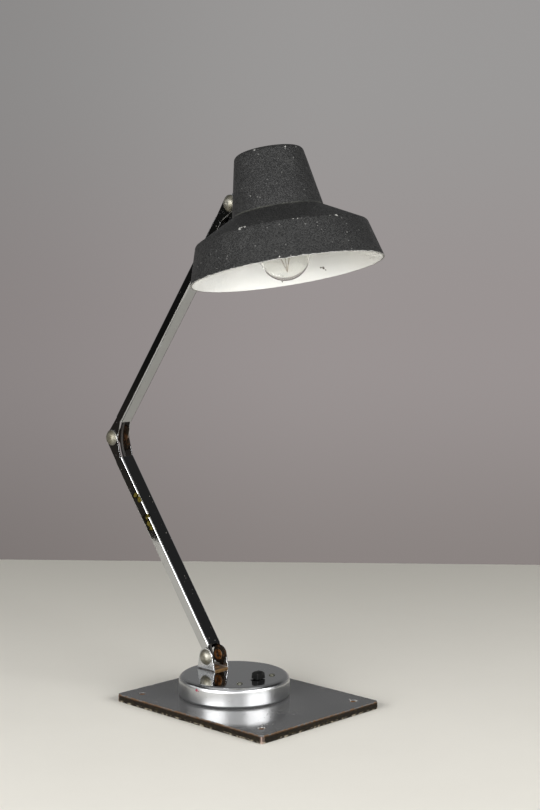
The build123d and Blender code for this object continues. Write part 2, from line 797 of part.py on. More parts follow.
# Lead: one wire from the drum to the bulb holder, along the middle of both tubes
def lead(points, bend, label):
    with BuildPart() as wire:
        with BuildLine() as path:
            if bend:
                FilletPolyline(*points, radius=bend)
            else:
                Polyline(*points)
        with BuildSketch(Plane(origin=path.line @ 0, z_dir=path.line % 0)):
            Circle(lead_radius)
        sweep()
    save(wire, label)


def meeting(start, direction, other, other_direction):
    """Point where two lines of the middle plane cross."""
    gap = other - start
    turn = direction.X * other_direction.Z - direction.Z * other_direction.X
    along = (gap.X * other_direction.Z - gap.Z * other_direction.X) / turn
    return start + direction * along


lower_middle = lower_origin - lower_front * (lower_depth / 2)
upper_middle = upper_origin - upper_front * (upper_depth / 2)
lower_in = lower_middle + lower_along * (base_cutback + lead_lap)
lower_out = lower_middle + lower_along * (lower_reach - lower_cutback - lead_lap)
upper_in = upper_middle + upper_along * (upper_cutback + lead_lap)
upper_out = upper_middle + upper_along * (upper_reach - upper_cutback - lead_lap)
rise = Vector(0, 0, 1)
lead_start = Vector(clevis_x, 0, drum_ceiling - lead_drum_drop)
base_corner = meeting(lead_start, rise, lower_middle, lower_along)
elbow_corner = meeting(lower_middle, lower_along, upper_middle, upper_along)
wall_entry = head_point(crown_radius(head_pivot_height), head_pivot_height)
wall_inward = shade_forward * wall_cos - shade_up * wall_sin
head_corner = meeting(upper_middle, upper_along, wall_entry, wall_inward)
riser_foot = meeting(wall_entry, wall_inward, head_point(lead_riser_setback, 0), shade_up)
tail_height = contact_face + contact_tail_length - lead_tail_drop
riser_top = head_point(lead_riser_setback, tail_height)
tail_end = head_point(contact_tail_radius + insulator_clearance, tail_height)

lead([lead_start, base_corner, lower_in], lead_bend, "base_lead")
lead([lower_in, lower_out], 0, "lower_lead")
lead([lower_out, elbow_corner, upper_in], lead_bend, "elbow_lead")
lead([upper_in, upper_out], 0, "upper_lead")
lead([upper_out, head_corner, wall_entry], lead_head_bend, "head_lead")
lead([wall_entry, riser_foot, riser_top, tail_end], lead_socket_bend, "socket_lead")
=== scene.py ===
import math

import bmesh
import bpy
from mathutils import Matrix, Vector, noise
from mathutils.bvhtree import BVHTree


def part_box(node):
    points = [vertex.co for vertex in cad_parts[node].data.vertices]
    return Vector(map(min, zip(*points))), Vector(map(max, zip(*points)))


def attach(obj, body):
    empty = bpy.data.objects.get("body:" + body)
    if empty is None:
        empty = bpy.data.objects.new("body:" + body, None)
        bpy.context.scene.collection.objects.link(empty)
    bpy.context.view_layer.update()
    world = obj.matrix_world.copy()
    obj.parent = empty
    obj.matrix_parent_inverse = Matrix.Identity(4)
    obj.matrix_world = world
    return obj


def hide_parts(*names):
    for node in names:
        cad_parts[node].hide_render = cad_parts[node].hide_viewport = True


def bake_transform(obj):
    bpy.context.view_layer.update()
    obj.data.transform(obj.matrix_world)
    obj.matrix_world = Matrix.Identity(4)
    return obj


# Folding-arm desk lamp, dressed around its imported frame, in metres
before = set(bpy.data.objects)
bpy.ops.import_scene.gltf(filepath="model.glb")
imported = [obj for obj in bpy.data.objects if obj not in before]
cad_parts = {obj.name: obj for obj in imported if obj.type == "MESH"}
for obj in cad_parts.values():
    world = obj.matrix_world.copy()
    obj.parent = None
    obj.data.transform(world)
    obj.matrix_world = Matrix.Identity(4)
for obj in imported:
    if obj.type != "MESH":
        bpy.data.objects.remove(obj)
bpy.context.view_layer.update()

MM = 0.001

# Camera of the photograph
PHOTO_WIDTH = 540
PHOTO_HEIGHT = 810
EYE = Vector((0.686508, -0.680326, 0.277134))
AHEAD = Vector((-0.69669, 0.71120, -0.09394))
ABOVE = Vector((-0.06574, 0.06711, 0.99558))
RIGHT = AHEAD.cross(ABOVE).normalized()
LENS = 71.11
SENSOR = 36.0

# Shade and head
SHADE_TILT = math.radians(12.66)
HEAD_PIVOT_HEIGHT = 49.9 * MM
HEAD_PIVOT_SETBACK = 33.9 * MM
RIM_RADIUS = 57.8 * MM
SKIRT_HEIGHT = 22.5 * MM
SHOULDER_RADIUS = 51.4 * MM
FLARE_HEIGHT = 35.8 * MM
CROWN_BASE_RADIUS = 27.4 * MM
CROWN_TOP_RADIUS = 20.4 * MM
SHADE_HEIGHT = 72.3 * MM
SHADE_WALL = 0.8 * MM
LINING_GAP = 0.1 * MM
LINING_WALL = 0.5 * MM
SHOULDER_ROUND = 2.5 * MM
CROWN_ROUND = 3.2 * MM
NECK_ROUND = 1.0 * MM
LEAST_ROUND = 0.4 * MM
RIM_ROUND = 0.35 * MM
SHADE_TURNS = 240
SHADE_STEP = 1.6 * MM
LIP_INSET_SHARE = 0.4
LIP_RISE_SHARE = 0.2
ON_AXIS = 0.01 * MM
DENT_DEPTH = 0.2 * MM
DENT_SPREAD = 24 * MM
SMALL_DENT_SHARE = 0.4
SMALL_DENT_SPREAD = 0.35 * DENT_SPREAD

# Bulb
STEM_TIP_HEIGHT = 21.0 * MM
STEM_FOOT_HALF = 1.0 * MM
KNEE_SPREAD = 1.3
KNEE_DROP = 2.0 * MM
HOOK_LENGTH = 1.0 * MM
SUPPORT_OVERRUN = 0.5 * MM
FILAMENT_TOP = 12.0 * MM
FILAMENT_FOOT = 0.6 * MM
FILAMENT_HALF = 4.9 * MM
LEAD_IN_RADIUS = 0.16 * MM
COIL_RADIUS = 0.32 * MM
COIL_WIRE = 0.09 * MM
COIL_TURNS = 26
COIL_STEPS = 10

# Base
BOARD_LENGTH = 127.0 * MM
BOARD_WIDTH = 101.6 * MM
BOARD_CORE = 4.0 * MM
LAMINATE = 0.8 * MM
BOARD_CORNER = 2.0 * MM
BOARD_HOLE_RADIUS = 2.2 * MM
BOARD_HOLE_INSET = 11.1 * MM
BOARD_EDGE_STEP = 0.7 * MM
BOARD_CORNER_STEPS = 4
BITE_SPREAD = 5.0 * MM
BITE_LEVEL = 0.28
BITE_GAIN = 1.6
CRUMBLE = 0.12
CRUMBLE_SPREAD = 1.0 * MM
CORE_CHIP = 0.5 * MM
CORE_SEED = 0.3
CORE_HOLE_BREAK = 0.04
CORE_BEVEL = 0.25 * MM
SHEET_INSET = 0.15 * MM
SHEET_CHIP = 0.9 * MM
SHEET_SEED = 0.7
SHEET_HOLE_SHARE = 1.06
SHEET_HOLE_BREAK = 0.16
SHEET_BEVEL = 0.12 * MM
DRUM_SCREW_OFFSET = 14.0 * MM
DRUM_SCREW_HEAD = 3.3 * MM
DRUM_SCREW_DEPTH = 1.75 * MM
DRUM_SCREW_SHANK = 1.65 * MM
HOLE_TURNS = 40
HOLE_BREAK_SPREAD = 1.2 * MM
SATIN_DROP = 0.4 * MM

# Pivots and lead
RIVET_INSIDE = 4.6 * MM
BASE_REACH = 7.4 * MM
ELBOW_REACH = 11.0 * MM
HEAD_REACH = 8.6 * MM
EAR_SKIN = 0.2 * MM
ARM_BEVEL = 0.3 * MM
BRACKET_BEVEL = 0.15 * MM
KNOB_BEVEL = 0.3 * MM
LEAD_RADIUS = 1.1 * MM

# Leads across the pivots, as places along X and Z in millimetres
BASE_ROUTE = ((-30.0, 11.7), (-30.0, 28.99), (-35.91, 36.98))
ELBOW_ROUTE = ((-109.9, 136.98), (-124.1, 156.16), (-110.27, 174.93))
HEAD_ROUTE = ((-23.92, 292.04), (-11.24, 309.25), (-0.65, 309.55))

# Limits for meshes: turns that stay smooth, that count as flat or as keen, and lengths that count as nil
SMOOTH_ANGLE = math.radians(35)
SPUN_ANGLE = math.radians(50)
SHEET_ANGLE = math.radians(32)
FLAT_ANGLE = math.radians(0.6)
KEEN_ANGLE = math.radians(40)
PLATE_KEEN_ANGLE = math.radians(60)
WELD = 0.002 * MM
LEVEL = 0.01 * MM


def middle(node):
    """Middle of a CAD node's box."""
    low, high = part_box(node)
    return (low + high) / 2


def inner_half(node):
    """Half the width between the ears of a folded sheet, and a little of the sheet."""
    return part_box(node)[1].y - EAR_SKIN


BASE_PIVOT = middle("base_pivot_rivets")
ELBOW_PIVOT = middle("elbow_rivets")
HEAD_PIVOT = middle("head_rivets")
DRUM_CENTRE = middle("base_drum")
CLEVIS_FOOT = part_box("base_clevis")[0].z
SHADE_UP = Vector((-math.sin(SHADE_TILT), 0, math.cos(SHADE_TILT)))
SHADE_OUT = Vector((math.cos(SHADE_TILT), 0, math.sin(SHADE_TILT)))
SIDEWAYS = Vector((0, 1, 0))
RIM_CENTRE = HEAD_PIVOT + SHADE_OUT * HEAD_PIVOT_SETBACK - SHADE_UP * HEAD_PIVOT_HEIGHT
HOLE_PLACE = Vector((BOARD_LENGTH / 2 - BOARD_HOLE_INSET, BOARD_WIDTH / 2 - BOARD_HOLE_INSET, 0))
FRONT_CORNER = Vector((BOARD_LENGTH / 2, -BOARD_WIDTH / 2, 0))
LEFT_CORNER = Vector((-BOARD_LENGTH / 2, -BOARD_WIDTH / 2, 0))

# Marks on the lamp, as pixel across, pixel down and size in millimetres
PAINT_CHIPS = (
    (240.3, 227.8, 1.4), (244.6, 226.6, 1.1), (336.4, 214.9, 0.9), (330.0, 215.3, 0.4),
    (293.0, 218.5, 0.35), (297.5, 218.2, 0.35), (301.5, 218.0, 0.3), (262.0, 221.2, 0.3),
    (254.4, 150.0, 0.55), (258.0, 149.2, 0.35), (285.0, 146.4, 0.6), (296.0, 146.8, 0.35),
    (279.5, 256.6, 0.6), (291.0, 255.6, 0.4), (303.0, 254.6, 0.55), (325.0, 252.4, 0.4),
    (217.0, 268.6, 0.35), (352.0, 248.4, 0.35), (317.5, 225.5, 0.22), (319.5, 227.5, 0.22),
    (321.3, 229.3, 0.22), (323.2, 231.2, 0.22), (250.0, 196.0, 0.3), (282.0, 172.0, 0.25),
    (229.0, 249.0, 0.3), (347.0, 232.0, 0.25),
)
ENAMEL_NICKS = (
    (323.4, 268.4, 1.1), (321.2, 267.4, 0.8), (325.4, 269.8, 0.6), (370.0, 258.4, 0.5), (282.4, 281.6, 0.5),
)
ARM_STAINS = (
    (135.6, 495.0, 3.6), (138.4, 500.5, 3.4), (146.4, 518.0, 3.4), (148.6, 523.0, 3.8), (151.2, 528.5, 3.2),
)
DRUM_RED_SPOTS = ((196.8, 690.6, 1.3), (198.2, 691.2, 0.9))
LAMINATE_CHIPS = (
    (262.0, 725.2, 0.7), (273.0, 724.2, 0.6), (357.0, 701.2, 0.7), (349.6, 699.2, 0.6), (267.0, 724.6, 0.4),
)


# Node wiring


class Wiring:
    """Short calls that add nodes to one tree and join them up."""

    def __init__(self, tree):
        self.tree = tree

    def plug(self, socket, value):
        """Links a socket or sets its value; a colour is given as three parts."""
        if isinstance(value, bpy.types.NodeSocket):
            self.tree.links.new(value, socket)
        elif socket.type == "RGBA":
            socket.default_value = (*value, 1.0)
        else:
            socket.default_value = value

    def node(self, kind, values=None, **settings):
        made = self.tree.nodes.new(kind)
        for key, setting in settings.items():
            setattr(made, key, setting)
        for key, value in (values or {}).items():
            self.plug(made.inputs[key], value)
        return made

    def place(self):
        return self.node("ShaderNodeTexCoord").outputs["Object"]

    def parts(self, vector):
        return self.node("ShaderNodeSeparateXYZ", {"Vector": vector}).outputs

    def math(self, operation, *values):
        made = self.node("ShaderNodeMath", operation=operation)
        for socket, value in zip(made.inputs, values):
            self.plug(socket, value)
        return made.outputs[0]

    def vector(self, operation, *values, output="Vector"):
        made = self.node("ShaderNodeVectorMath", operation=operation)
        for socket, value in zip(made.inputs, values):
            self.plug(socket, value)
        return made.outputs[output]

    def scaled(self, vector, factor):
        values = {"Vector": vector, "Scale": factor}
        return self.node("ShaderNodeVectorMath", values, operation="SCALE").outputs["Vector"]

    def ramp(self, value, low, high, start=0.0, end=1.0):
        values = {"Value": value, "From Min": low, "From Max": high, "To Min": start, "To Max": end}
        return self.node("ShaderNodeMapRange", values, interpolation_type="SMOOTHSTEP").outputs["Result"]

    def colour(self, share, first, second):
        made = self.node("ShaderNodeMix", data_type="RGBA")
        for index, value in ((0, share), (6, first), (7, second)):
            self.plug(made.inputs[index], value)
        return made.outputs[2]

    def value(self, share, first, second):
        made = self.node("ShaderNodeMix", data_type="FLOAT")
        for index, value in ((0, share), (2, first), (3, second)):
            self.plug(made.inputs[index], value)
        return made.outputs[0]

    def noise(self, vector, scale, detail=3.0, rough=0.55, output="Fac"):
        values = {"Vector": vector, "Scale": scale, "Detail": detail, "Roughness": rough}
        return self.node("ShaderNodeTexNoise", values).outputs[output]

    def bump(self, height, strength, depth):
        values = {"Height": height, "Strength": strength, "Distance": depth}
        return self.node("ShaderNodeBump", values).outputs["Normal"]

    def use(self, group, **values):
        made = self.node("ShaderNodeGroup", node_tree=group)
        for key, value in values.items():
            self.plug(made.inputs[key.replace("_", " ").title()], value)
        return made.outputs


def group(name, outputs, **inputs):
    """New shader node group that takes a place: its tree's wiring, its inputs and its outputs."""
    tree = bpy.data.node_groups.new(name, "ShaderNodeTree")
    tree.interface.new_socket("Vector", in_out="INPUT", socket_type="NodeSocketVector")
    for label, default in inputs.items():
        kind = "NodeSocketVector" if isinstance(default, tuple) else "NodeSocketFloat"
        socket = tree.interface.new_socket(label, in_out="INPUT", socket_type=kind)
        socket.default_value = default
    for label in outputs:
        tree.interface.new_socket(label, in_out="OUTPUT", socket_type="NodeSocketFloat")
    wiring = Wiring(tree)
    return wiring, wiring.node("NodeGroupInput").outputs, wiring.node("NodeGroupOutput").inputs


MASK = ["Mask"]
ORIGIN = (0.0, 0.0, 0.0)
ON_PLAN = (1.0, 1.0, 0.0)
GRIME_AND_SHADE_FADE = 0.2 * MM
HAIRLINE_SHARE = 0.35


# Effects that several finishes share


def make_specks():
    """Small dots in a share of the cells of a random grid."""
    w, given, out = group("specks", MASK, Scale=400.0, Size=0.25, Share=0.2)
    grid = {"Vector": given["Vector"], "Scale": given["Scale"]}
    cells = w.node("ShaderNodeTexVoronoi", grid, feature="F1")
    pick = w.node("ShaderNodeSeparateColor", {"Color": cells.outputs["Color"]}).outputs["Red"]
    chosen = w.math("LESS_THAN", pick, given["Share"])
    size = w.math("MULTIPLY", given["Size"], w.ramp(pick, 0.0, given["Share"], 0.4, 1.0))
    dot = w.ramp(cells.outputs["Distance"], size, w.math("MULTIPLY", size, 0.6))
    w.plug(out["Mask"], w.math("MULTIPLY", chosen, dot))
    return w.tree


def make_blotches():
    """Soft uneven patches between two noise levels."""
    w, given, out = group("blotches", MASK, Scale=40.0, Low=0.5, High=0.7)
    cloud = w.noise(given["Vector"], given["Scale"], 5.0, 0.62)
    w.plug(out["Mask"], w.ramp(cloud, given["Low"], given["High"]))
    return w.tree


def make_worn_line():
    """Ragged wear along a line: strongest where the distance to the line is nil."""
    w, given, out = group("worn_line", MASK, Distance=0.0, Width=MM, Scale=200.0, Amount=0.5)
    near = w.math("SUBTRACT", 1.0, w.math("DIVIDE", w.math("ABSOLUTE", given["Distance"]), given["Width"]))
    ragged = w.noise(given["Vector"], given["Scale"], 4.0, 0.65)
    level = w.math("ADD", w.math("MULTIPLY", near, 0.5), ragged)
    edge = w.math("SUBTRACT", 1.35, w.math("MULTIPLY", given["Amount"], 0.6))
    worn = w.ramp(level, w.math("SUBTRACT", edge, 0.04), w.math("ADD", edge, 0.04))
    w.plug(out["Mask"], w.math("MULTIPLY", worn, w.math("GREATER_THAN", near, 0.0)))
    return w.tree


def make_scratches():
    """Thin broken hairlines along one direction of the given coordinates."""
    w, given, out = group("scratches", MASK, Stretch=(1.0, 1.0, 1.0), Scale=200.0, Share=0.3)
    drawn = w.vector("MULTIPLY", given["Vector"], given["Stretch"])
    lines = w.math("ABSOLUTE", w.math("SUBTRACT", w.noise(drawn, given["Scale"], 2.0, 0.5), 0.5))
    thin = w.ramp(lines, 0.012, 0.0)
    broken = w.noise(given["Vector"], 70.0, 2.0, 0.5)
    edge = w.math("SUBTRACT", 0.75, w.math("MULTIPLY", given["Share"], 0.5))
    w.plug(out["Mask"], w.math("MULTIPLY", thin, w.ramp(broken, edge, w.math("ADD", edge, 0.08))))
    return w.tree


def make_chip():
    """One ragged spot round a centre."""
    w, given, out = group("chip", MASK, Centre=ORIGIN, Size=MM, Scale=900.0, Core=0.7)
    away = w.vector("DISTANCE", given["Vector"], given["Centre"], output="Value")
    ragged = w.noise(given["Vector"], given["Scale"], 3.0, 0.6)
    reach = w.math("MULTIPLY", given["Size"], w.ramp(ragged, 0.3, 0.7, 0.35, 1.35))
    w.plug(out["Mask"], w.ramp(away, reach, w.math("MULTIPLY", reach, given["Core"])))
    return w.tree


def make_ear_grime_and_shade():
    """Old grease and rust, with painted shade, between the ears at a pivot, within a half width."""
    w, given, out = group("ear_grime_and_shade", MASK, Pivot=ORIGIN, Reach=10 * MM, Half=4 * MM)
    flat = w.vector("MULTIPLY", w.vector("SUBTRACT", given["Vector"], given["Pivot"]), (1.0, 0.0, 1.0))
    near = w.vector("LENGTH", flat, output="Value")
    ragged = w.ramp(w.noise(given["Vector"], 420.0, 4.0, 0.6), 0.3, 0.7, 0.75, 1.15)
    near = w.ramp(near, w.math("MULTIPLY", given["Reach"], ragged), w.math("MULTIPLY", given["Reach"], 0.7))
    side = w.math("ABSOLUTE", w.parts(given["Vector"])["Y"])
    inside = w.ramp(side, given["Half"], w.math("SUBTRACT", given["Half"], GRIME_AND_SHADE_FADE))
    w.plug(out["Mask"], w.math("MULTIPLY", near, inside))
    return w.tree


def make_shade_place():
    """Height above the rim and distance from the shade's axis, taken along its tilt."""
    w, given, out = group("shade_place", ["Height", "Radius"])
    values = {"Vector": given["Vector"], "Location": RIM_CENTRE, "Rotation": (0.0, -SHADE_TILT, 0.0)}
    local = w.node("ShaderNodeMapping", values, vector_type="TEXTURE").outputs["Vector"]
    across = w.vector("LENGTH", w.vector("MULTIPLY", local, ON_PLAN), output="Value")
    w.plug(out["Height"], w.parts(local)["Z"])
    w.plug(out["Radius"], across)
    return w.tree


def make_board_place():
    """Distance in from the board's outline, and distance from the wall of the nearest screw hole."""
    w, given, out = group("board_place", ["Edge", "Hole"])
    folded = w.vector("ABSOLUTE", given["Vector"])
    inward = w.parts(w.vector("SUBTRACT", (BOARD_LENGTH / 2, BOARD_WIDTH / 2, 0.0), folded))
    w.plug(out["Edge"], w.math("MINIMUM", inward["X"], inward["Y"]))
    away = w.vector("MULTIPLY", w.vector("SUBTRACT", folded, tuple(HOLE_PLACE)), ON_PLAN)
    w.plug(out["Hole"], w.math("SUBTRACT", w.vector("LENGTH", away, output="Value"), BOARD_HOLE_RADIUS))
    return w.tree


SPECKS = make_specks()
BLOTCHES = make_blotches()
WORN_LINE = make_worn_line()
SCRATCHES = make_scratches()
CHIP = make_chip()
EAR_GRIME_AND_SHADE = make_ear_grime_and_shade()
SHADE_PLACE = make_shade_place()
BOARD_PLACE = make_board_place()


def spots(w, at, marks, **look):
    """Mask of ragged spots, each a centre and a size."""
    mask = 0.0
    for centre, size in marks:
        mask = w.math("MAXIMUM", mask, w.use(CHIP, vector=at, centre=centre, size=size, **look)["Mask"])
    return mask


def blotch_mask(w, at, scale, low, high):
    return w.use(BLOTCHES, vector=at, scale=scale, low=low, high=high)["Mask"]


def speck_mask(w, at, scale, size, share):
    return w.use(SPECKS, vector=at, scale=scale, size=size, share=share)["Mask"]


def scratch_mask(w, at, stretch, scale):
    return w.use(SCRATCHES, vector=at, stretch=stretch, scale=scale, share=HAIRLINE_SHARE)["Mask"]


def worn_mask(w, at, distance, width, scale, amount):
    values = {"distance": distance, "width": width, "scale": scale, "amount": amount}
    return w.use(WORN_LINE, vector=at, **values)["Mask"]


# Finishes, with each two-tone finish as a pair of colours

CHROME = (0.98, 0.99, 1.0)
CHROME_HAZE = (0.86, 0.85, 0.83)
RUST = (0.050, 0.022, 0.008)
RUST_PALE = (0.16, 0.115, 0.045)
TAN_RUST = (0.15, 0.075, 0.025)
ORANGE_RUST = (0.20, 0.075, 0.018)
GRIME_AND_SHADE = (0.010, 0.007, 0.004)
OLIVE_STAIN = (0.060, 0.047, 0.006)
RED_SPOT = (0.30, 0.06, 0.09)
NICKEL = ((0.29, 0.28, 0.24), (0.17, 0.156, 0.115))
RIVET_DIRT = (0.10, 0.07, 0.04)
PAINT_VALLEY_SHADE = (0.005, 0.005, 0.005)
PAINT_CREST_LIGHT = ((0.016, 0.016, 0.0155), (0.025, 0.025, 0.0242))
PAINT_SPECK = (0.16, 0.16, 0.152)
NECK_DUST = (0.060, 0.061, 0.050)
BARE_SHEET = ((0.40, 0.395, 0.37), (0.22, 0.215, 0.20))
ENAMEL = ((0.775, 0.775, 0.745), (0.75, 0.74, 0.695))
ENAMEL_NICK = (0.10, 0.085, 0.065)
LAMINATE_SHEET = ((0.086, 0.086, 0.087), (0.098, 0.098, 0.097))
LAMINATE_DUST = (0.20, 0.19, 0.18)
LAMINATE_EDGE = ((0.03, 0.015, 0.006), (0.13, 0.066, 0.024))
LAMINATE_BREAK = (0.38, 0.37, 0.34)
HARDBOARD = ((0.004, 0.003, 0.002), (0.014, 0.010, 0.006))
HARDBOARD_TORN = (0.022, 0.017, 0.009)
HARDBOARD_CRUMB = (0.24, 0.21, 0.155)
HARDBOARD_TOP = (0.07, 0.035, 0.014)
HARDBOARD_HOLE = ((0.08, 0.033, 0.010), (0.26, 0.115, 0.036))
HARDBOARD_CORNER = (0.26, 0.19, 0.16)
BLACK_PLASTIC = ((0.004, 0.004, 0.004), (0.012, 0.0115, 0.011))
GLASS = ((1.0, 1.0, 0.985), (0.97, 0.965, 0.935))
BULB_WIRE = ((0.46, 0.38, 0.29), (0.28, 0.22, 0.16))
BRASS = ((0.62, 0.44, 0.19), (0.22, 0.14, 0.06))
ZINC = ((0.46, 0.46, 0.45), (0.34, 0.33, 0.30))
DULL_STEEL = ((0.42, 0.42, 0.36), (0.20, 0.19, 0.12))
INSULATOR = ((0.05, 0.028, 0.015), (0.10, 0.06, 0.035))
RUBBER = ((0.012, 0.012, 0.012), (0.035, 0.034, 0.033))
LEAD_COVERING = ((0.005, 0.004, 0.003), (0.013, 0.009, 0.006))

LOW_SPECULAR = 0.12
SATIN = 0.22
SATIN_FADE = 1.5 * MM
FIRST_DULL = 0.5
FOOT_RUST_START = 1.6 * MM
FOOT_RUST_FULL = 0.9 * MM
FOOT_RUST_SIDE = 0.4 * MM
FOOT_RUST_SIDE_FULL = 0.7 * MM
RIVET_FADE = 0.3 * MM
RIVET_FACING = -0.1 * MM
WRINKLE_DRIFT = 0.9 * MM
PAINT_WEAR_SCALE = 330.0
RIM_WEAR = 0.8 * MM
CROWN_WEAR = 2.0 * MM
CROWN_WEAR_SHARE = 0.4
SHOULDER_WEAR = 1.1 * MM
NECK_LINE = 0.9 * MM
NECK_LINE_FULL = 0.2 * MM
LAMINATE_WEAR = 0.7 * MM
HOLE_WEAR = 0.6 * MM
CRUMB_TOP = 1.5 * MM
CRUMB_FULL = 0.4 * MM
TOP_BAND = 0.6 * MM
TOP_BAND_FULL = 0.1 * MM
HOLE_WALL = 0.5 * MM
HOLE_WALL_FULL = 0.15 * MM
CORNER_WEAR = 2.3 * MM
CORNER_WEAR_FULL = 1.2 * MM


def finish(name, **constants):
    """New material: its wiring, and its shader's sockets, on which the constants are set."""
    material = bpy.data.materials.new(name)
    material.use_nodes = True
    wiring = Wiring(material.node_tree)
    shader = material.node_tree.nodes["Principled BSDF"]
    for key, value in constants.items():
        shader.inputs[key.replace("_", " ")].default_value = value
    return material, wiring, shader.inputs


def grey(level):
    return (level, level, level)


def shaded(tint, level):
    return tuple(part * level for part in tint)


def chrome(name, tone, rust, haze=0.5, shine=0.05, half=0.0, pivots=(), stains=(), stain=OLIVE_STAIN,
           floor=None, satin=None, far_fold_shade=False):
    """Old chrome: fine haze, hairlines, pits and rust, grime and painted shade between the ears at its
    pivots, single stains.
    A floor gives the height under which the sheet between the ears is all tan rust, satin the height under
    which the plating is satin, and the flag for far folds darkens the folds of the far side as painted
    shade."""
    material, w, shader = finish(name, Specular_IOR_Level=LOW_SPECULAR)
    at = w.place()
    hazy = w.math("MULTIPLY", blotch_mask(w, at, 55.0, 0.46, 0.74), haze)
    patch = blotch_mask(w, at, 34.0, 0.68 - 0.2 * rust, 0.80 - 0.2 * rust)
    eaten = blotch_mask(w, at, 260.0, 0.50, 0.64)
    pits = speck_mask(w, at, 800.0, 0.26, 0.03 + 0.07 * rust)
    rusty = w.math("MAXIMUM", w.math("MULTIPLY", patch, eaten), w.math("MULTIPLY", pits, 0.7))
    lines = scratch_mask(w, at, (1.0, 0.12, 0.9), 420.0)
    colour = w.colour(hazy, shaded(CHROME, tone), shaded(CHROME_HAZE, tone))
    colour = w.colour(rusty, colour, w.colour(w.noise(at, 480.0), RUST, RUST_PALE))
    dull = rusty
    # Grease and rust between the ears at the pivots, with painted shade that darkens the faces there.
    grime_and_shade = 0.0
    for pivot, reach in pivots:
        at_pivot = w.use(EAR_GRIME_AND_SHADE, vector=at, pivot=pivot, reach=reach, half=half)["Mask"]
        grime_and_shade = w.math("MAXIMUM", grime_and_shade, at_pivot)
    if pivots:
        brown = w.colour(blotch_mask(w, at, 380.0, 0.5, 0.68), GRIME_AND_SHADE, RUST)
        colour = w.colour(w.ramp(grime_and_shade, 0.0, FIRST_DULL), colour, brown)
        dull = w.math("MAXIMUM", dull, w.ramp(grime_and_shade, FIRST_DULL, 1.0))
    if floor is not None:
        low = w.ramp(w.parts(at)["Z"], floor + FOOT_RUST_START, floor + FOOT_RUST_FULL)
        side = w.math("ABSOLUTE", w.parts(at)["Y"])
        low = w.math("MULTIPLY", low, w.ramp(side, half - FOOT_RUST_SIDE, half - FOOT_RUST_SIDE_FULL))
        tan = w.colour(w.noise(at, 520.0, 4.0), RUST, w.colour(w.noise(at, 240.0), TAN_RUST, RUST_PALE))
        colour = w.colour(low, colour, tan)
        dull = w.math("MAXIMUM", dull, low)
    if stains:
        mark = spots(w, at, stains, scale=220.0, core=0.3)
        colour = w.colour(w.ramp(mark, 0.0, FIRST_DULL), colour, stain)
        dull = w.math("MAXIMUM", dull, w.ramp(mark, FIRST_DULL, 1.0))
    # Painted shade: the rounded folds that turn towards +Y, the far side, are darkened.
    if far_fold_shade:
        turned = w.parts(w.node("ShaderNodeTexCoord").outputs["Normal"])["Y"]
        fold_shade = w.math("MULTIPLY", w.ramp(turned, 0.06, 0.2), w.ramp(turned, 0.97, 0.85))
        colour = w.colour(fold_shade, colour, GRIME_AND_SHADE)
    w.plug(shader["Base Color"], colour)
    w.plug(shader["Metallic"], w.math("SUBTRACT", 1.0, dull))
    gloss = w.math("ADD", shine, w.math("MULTIPLY", hazy, 0.10))
    if satin is not None:
        gloss = w.math("ADD", gloss, w.ramp(w.parts(at)["Z"], satin, satin - SATIN_FADE, 0.0, SATIN))
    gloss = w.math("ADD", gloss, w.math("MULTIPLY", lines, 0.15))
    w.plug(shader["Roughness"], w.value(dull, gloss, 0.6))
    relief = w.math("ADD", w.noise(at, 90.0, 2.0), w.math("MULTIPLY", rusty, 0.6))
    w.plug(shader["Normal"], w.bump(relief, 0.1 * haze, 0.6 * MM))
    return material


def nickel(name, rust):
    """Domed rivets: pearly nickel with a yellowish bloom, rusted on their ends between the ears."""
    material, w, shader = finish(name, Specular_IOR_Level=LOW_SPECULAR)
    at = w.place()
    bloom = blotch_mask(w, at, 190.0, 0.38, 0.68)
    dirt = speck_mask(w, at, 900.0, 0.35, 0.16)
    metal = w.colour(dirt, w.colour(bloom, *NICKEL), RIVET_DIRT)
    side = w.parts(at)["Y"]
    inside = w.ramp(w.math("ABSOLUTE", side), RIVET_INSIDE, RIVET_INSIDE - RIVET_FADE)
    facing = w.parts(w.node("ShaderNodeTexCoord").outputs["Normal"])["Y"]
    turned_in = w.math("LESS_THAN", w.math("MULTIPLY", facing, side), RIVET_FACING)
    inside = w.math("MAXIMUM", inside, turned_in)
    brown = w.colour(w.ramp(w.noise(at, 600.0), 0.3, 0.6), GRIME_AND_SHADE, rust)
    w.plug(shader["Base Color"], w.colour(inside, metal, brown))
    w.plug(shader["Metallic"], w.math("SUBTRACT", 1.0, w.math("MULTIPLY", inside, 0.8)))
    w.plug(shader["Roughness"], w.value(inside, w.value(bloom, 0.46, 0.56), 0.65))
    w.plug(shader["Normal"], w.bump(w.noise(at, 700.0), 0.14, 0.2 * MM))
    return material


def two_tone(name, colours, rough, scale, patches, grain, bump, depth=0.1 * MM, **constants):
    """Plain material in soft patches of two colours, each with its own gloss, and a fine grain."""
    material, w, shader = finish(name, **constants)
    at = w.place()
    patch = blotch_mask(w, at, scale, *patches)
    w.plug(shader["Base Color"], w.colour(patch, *colours))
    w.plug(shader["Roughness"], w.value(patch, *rough))
    w.plug(shader["Normal"], w.bump(w.noise(at, grain), bump, depth))
    return material


def worn_metal(name, colours, rough, scale):
    """Dull plated metal."""
    return two_tone(name, colours, rough, scale, (0.38, 0.67), scale * 4, 0.1, Metallic=1.0)


def plain_grained(name, colours, rough, scale):
    """Matt material with a fine uneven grain."""
    return two_tone(name, colours, rough, scale, (0.35, 0.7), scale * 4, 0.15)


def rusty_steel():
    """Bare steel gone to brown rust."""
    tones = (TAN_RUST, RUST)
    return two_tone("rusty_steel", tones, (0.55, 0.8), 420.0, (0.35, 0.65), 1400.0, 0.4, depth=0.2 * MM)


